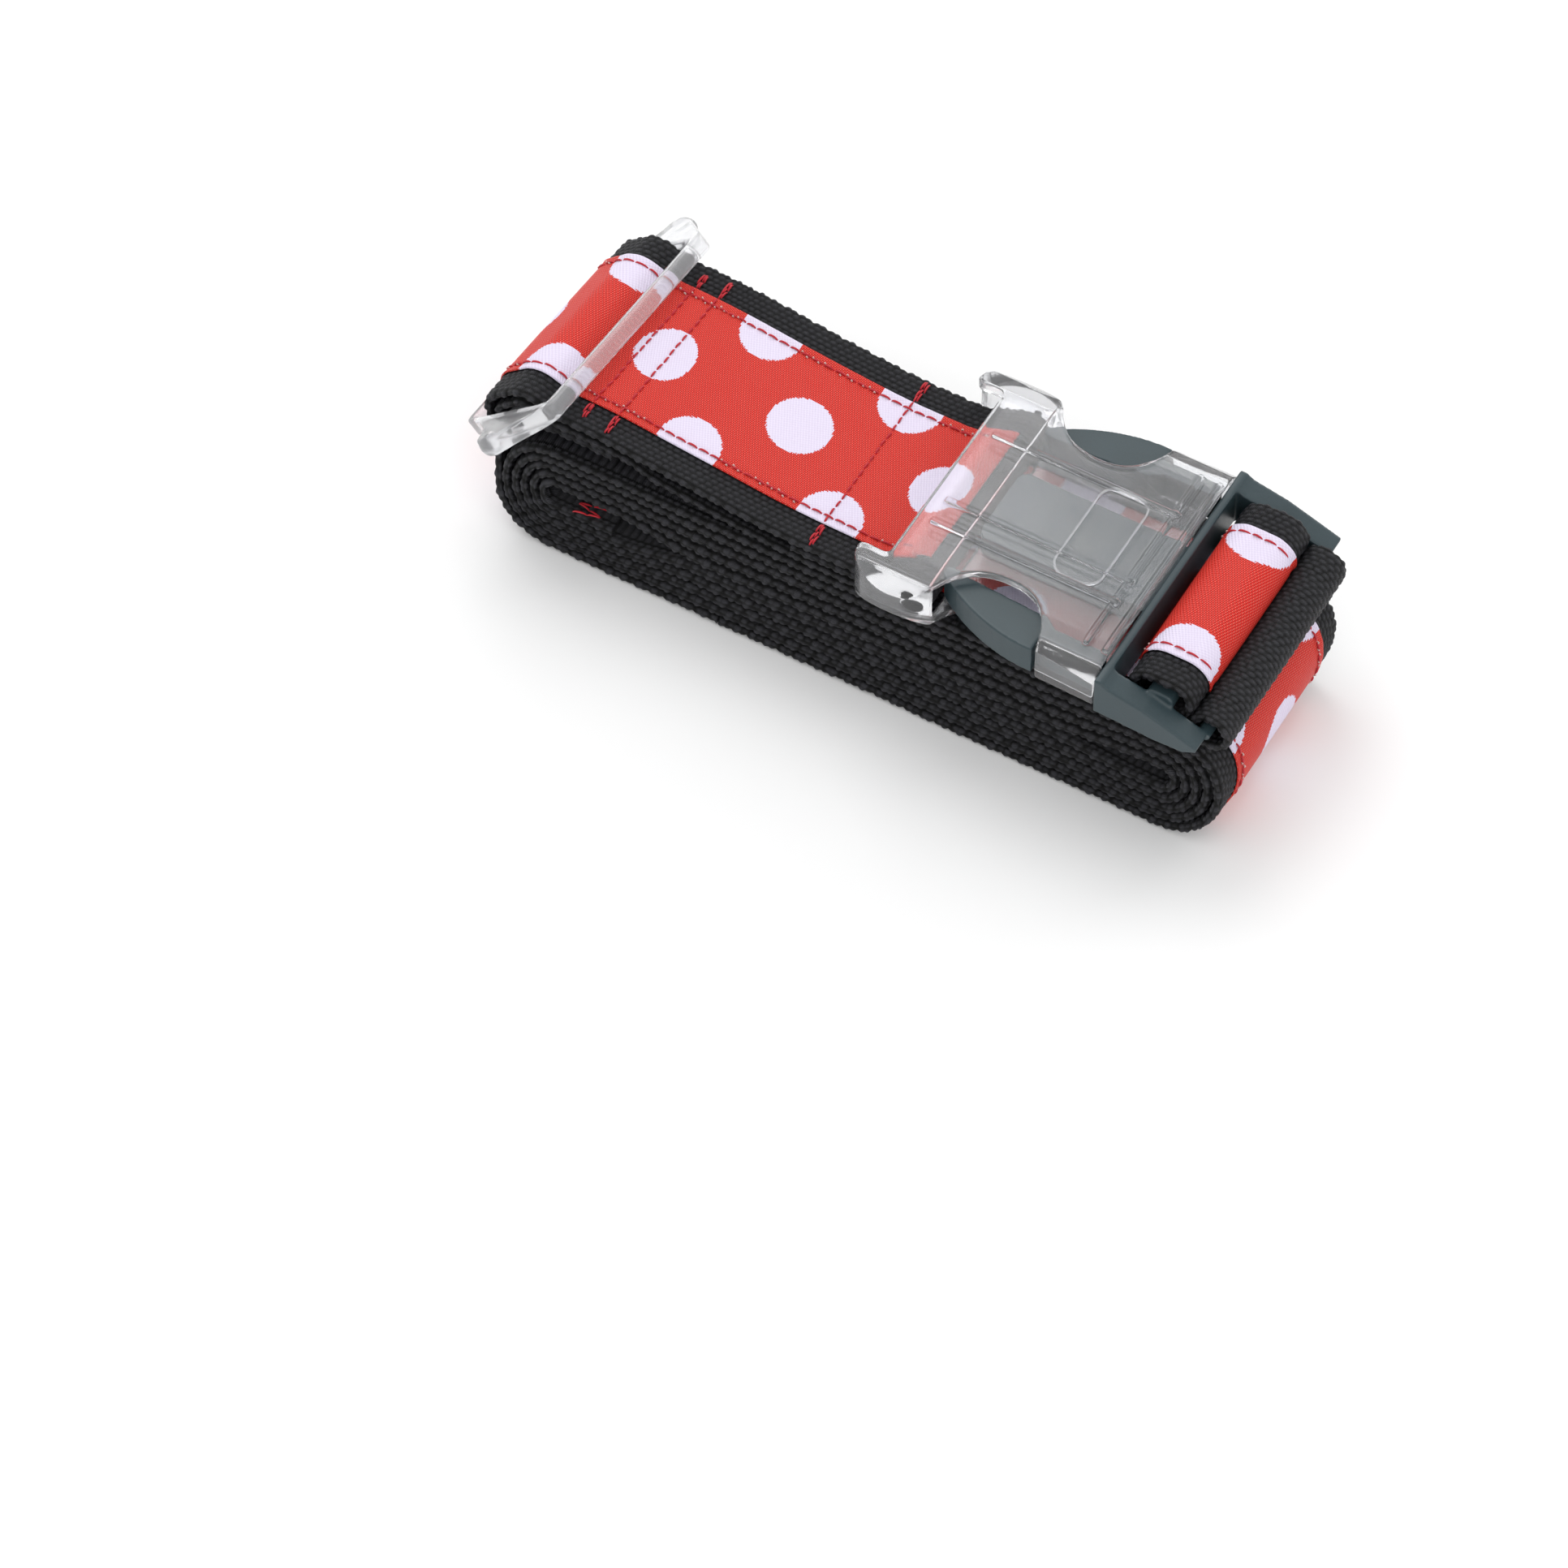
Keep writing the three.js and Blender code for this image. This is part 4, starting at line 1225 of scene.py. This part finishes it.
# The plain outline on the female buckle's top plate.
RIDGE_HEIGHT = 0.42
ridge_outer = rounded(106.3, -12.0, 117.4, 13.0, 3.6)
ridge_inner = rounded(106.8, -11.5, 116.9, 12.5, 3.1)
ridge_solid = prism(ridge_outer, BUCKLE_TOP - 0.1, BUCKLE_TOP + RIDGE_HEIGHT)
ridge_hole = prism(ridge_inner, BUCKLE_TOP - 1, BUCKLE_TOP + 1)
ridge = plastic("clear_outline_ridge", boolean(ridge_solid, [ridge_hole], "DIFFERENCE"), milky, "strap")

# The male buckle: shoulder plate, rails, bars and tongue, then its two latch arms.
MALE_LOW = BUCKLE_Z + WALL + 0.6
MALE_HIGH = BUCKLE_TOP - WALL - 0.6
PLATE = 1.8
RAIL_INNER = HALF_WIDTH + 0.7
RAIL_OUTER = RAIL_INNER + 5
MALE_BAR_END = 26
TONGUE_HALF = 9.5


def male_meshes():
    x = BUCKLE_END + CLEAR
    rail = [
        (x + PLATE - 0.5, MALE_LOW - 1), (x + 13, MALE_LOW - 1.7), (x + 20, MALE_LOW - 1.5),
        (x + 23.0, MALE_LOW + 0.2), (x + 23.3, MALE_LOW + 1.4), (x + 18, MALE_HIGH - 4.4),
        (x + 11, MALE_HIGH - 1.8), (x + PLATE + 1.5, MALE_HIGH - 0.2), (x + PLATE - 0.5, MALE_HIGH + 1),
    ]
    middle = (MALE_LOW + MALE_HIGH) / 2
    tongue = boolean(
        prism(rounded(BUCKLE_X + 12, -TONGUE_HALF, x + 3, TONGUE_HALF, 2.5), middle - 3, middle + 3),
        [block((x + PLATE - 0.2, -20, 0), (x + 9, 20, 80))], "DIFFERENCE",
    )
    bar_x, bar_z = MALE_BAR
    bar = rounded(bar_x - 3, bar_z - 2, bar_x + 3, bar_z + 2, 1.5)
    return [
        block((x, -RAIL_OUTER, MALE_LOW - 1), (x + PLATE, RAIL_OUTER, MALE_HIGH + 1)),
        prism(rail, RAIL_INNER, RAIL_OUTER, "y"),
        prism(rail, -RAIL_OUTER, -RAIL_INNER, "y"),
        prism(bar, -MALE_BAR_END, MALE_BAR_END, "y"),
        prism(circle(*OUTER_BAR, 1.5), -MALE_BAR_END, MALE_BAR_END, "y"),
        tongue,
    ]


moulded(
    "charcoal_male_frame", male_meshes(), voxel=0.30, passes=4, material=charcoal,
    body="plug", nodes=["male_frame"],
)


def arm_plan():
    """The far latch arm from above: a thin beam out to a broad finger pad."""
    tip, shoulder, beam = WINDOW_FROM - 0.5, WINDOW_TO - 0.8, 1.5
    x, y = BUCKLE_END - 2, 24.0
    plan = [(x, y + beam), (shoulder, y + beam), (shoulder, SHOULDER_HALF + 2.7)]
    pad = (shoulder - 8, SHOULDER_HALF + 3.2), (tip + 6, SHOULDER_HALF - 0.5), (tip, 21.4)
    plan += bezier(plan[-1], *pad)
    plan += bezier(plan[-1], (tip - 1, 20.4), (tip - 0.4, 19.4), (tip + 1.5, 19.4))
    plan += [(shoulder - 1, 20.5), (shoulder + 2, y - beam), (x, y - beam)]
    return plan + arc(x, y, beam, -math.pi / 2, math.pi / 2)[1:-1]


for side, word in ((-1, "near"), (1, "far")):
    plan = [(a, side * b) for a, b in arm_plan()]
    moulded(
        f"charcoal_latch_arm_{word}", [prism(plan, MALE_LOW + CLEAR, MALE_HIGH - CLEAR)],
        voxel=0.25, passes=4, material=charcoal,
        body=f"latch_{word}", nodes=[f"latch_arm_{word}"],
    )

# ------------------------ floor and light

FLOOR_HALF = 4
WORLD_STRENGTH = 0.82
LIGHT_AIM = Vector((0, 0, 0.02))

floor_mesh = bpy.data.meshes.new("floor")
corners = [(x * FLOOR_HALF, y * FLOOR_HALF, 0) for x, y in ((-1, -1), (1, -1), (1, 1), (-1, 1))]
floor_mesh.from_pydata(corners, [], [(0, 1, 2, 3)])
floor_mesh.materials.append(Nodes("floor").set(Base_Color=colour(250, 250, 250), Roughness=0.9))
floor = added("floor", floor_mesh)

world = bpy.data.worlds.new("studio")
world.use_nodes = True
sky = world.node_tree.nodes["Background"]
sky.inputs["Color"].default_value = (1, 1, 1, 1)
sky.inputs["Strength"].default_value = WORLD_STRENGTH
bpy.context.scene.world = world


def softbox(name, place, size, power):
    """A soft rectangular lamp turned to the object. Place and size in metres, power in watts."""
    data = bpy.data.lights.new(name, "AREA")
    data.shape = "RECTANGLE"
    data.size, data.size_y = size
    data.energy = power
    lamp = added(name, data)
    lamp.location = place
    lamp.rotation_mode = "QUATERNION"
    lamp.rotation_quaternion = (LIGHT_AIM - Vector(place)).to_track_quat("-Z", "Y")


softbox("key", place=(-0.7, 0.5, 1.3), size=(1.0, 1.0), power=8)
softbox("fill", place=(1.0, -0.8, 1.0), size=(1.0, 1.0), power=3.5)
softbox("rim", place=(0.2, 1.3, 0.7), size=(1.2, 0.4), power=4)
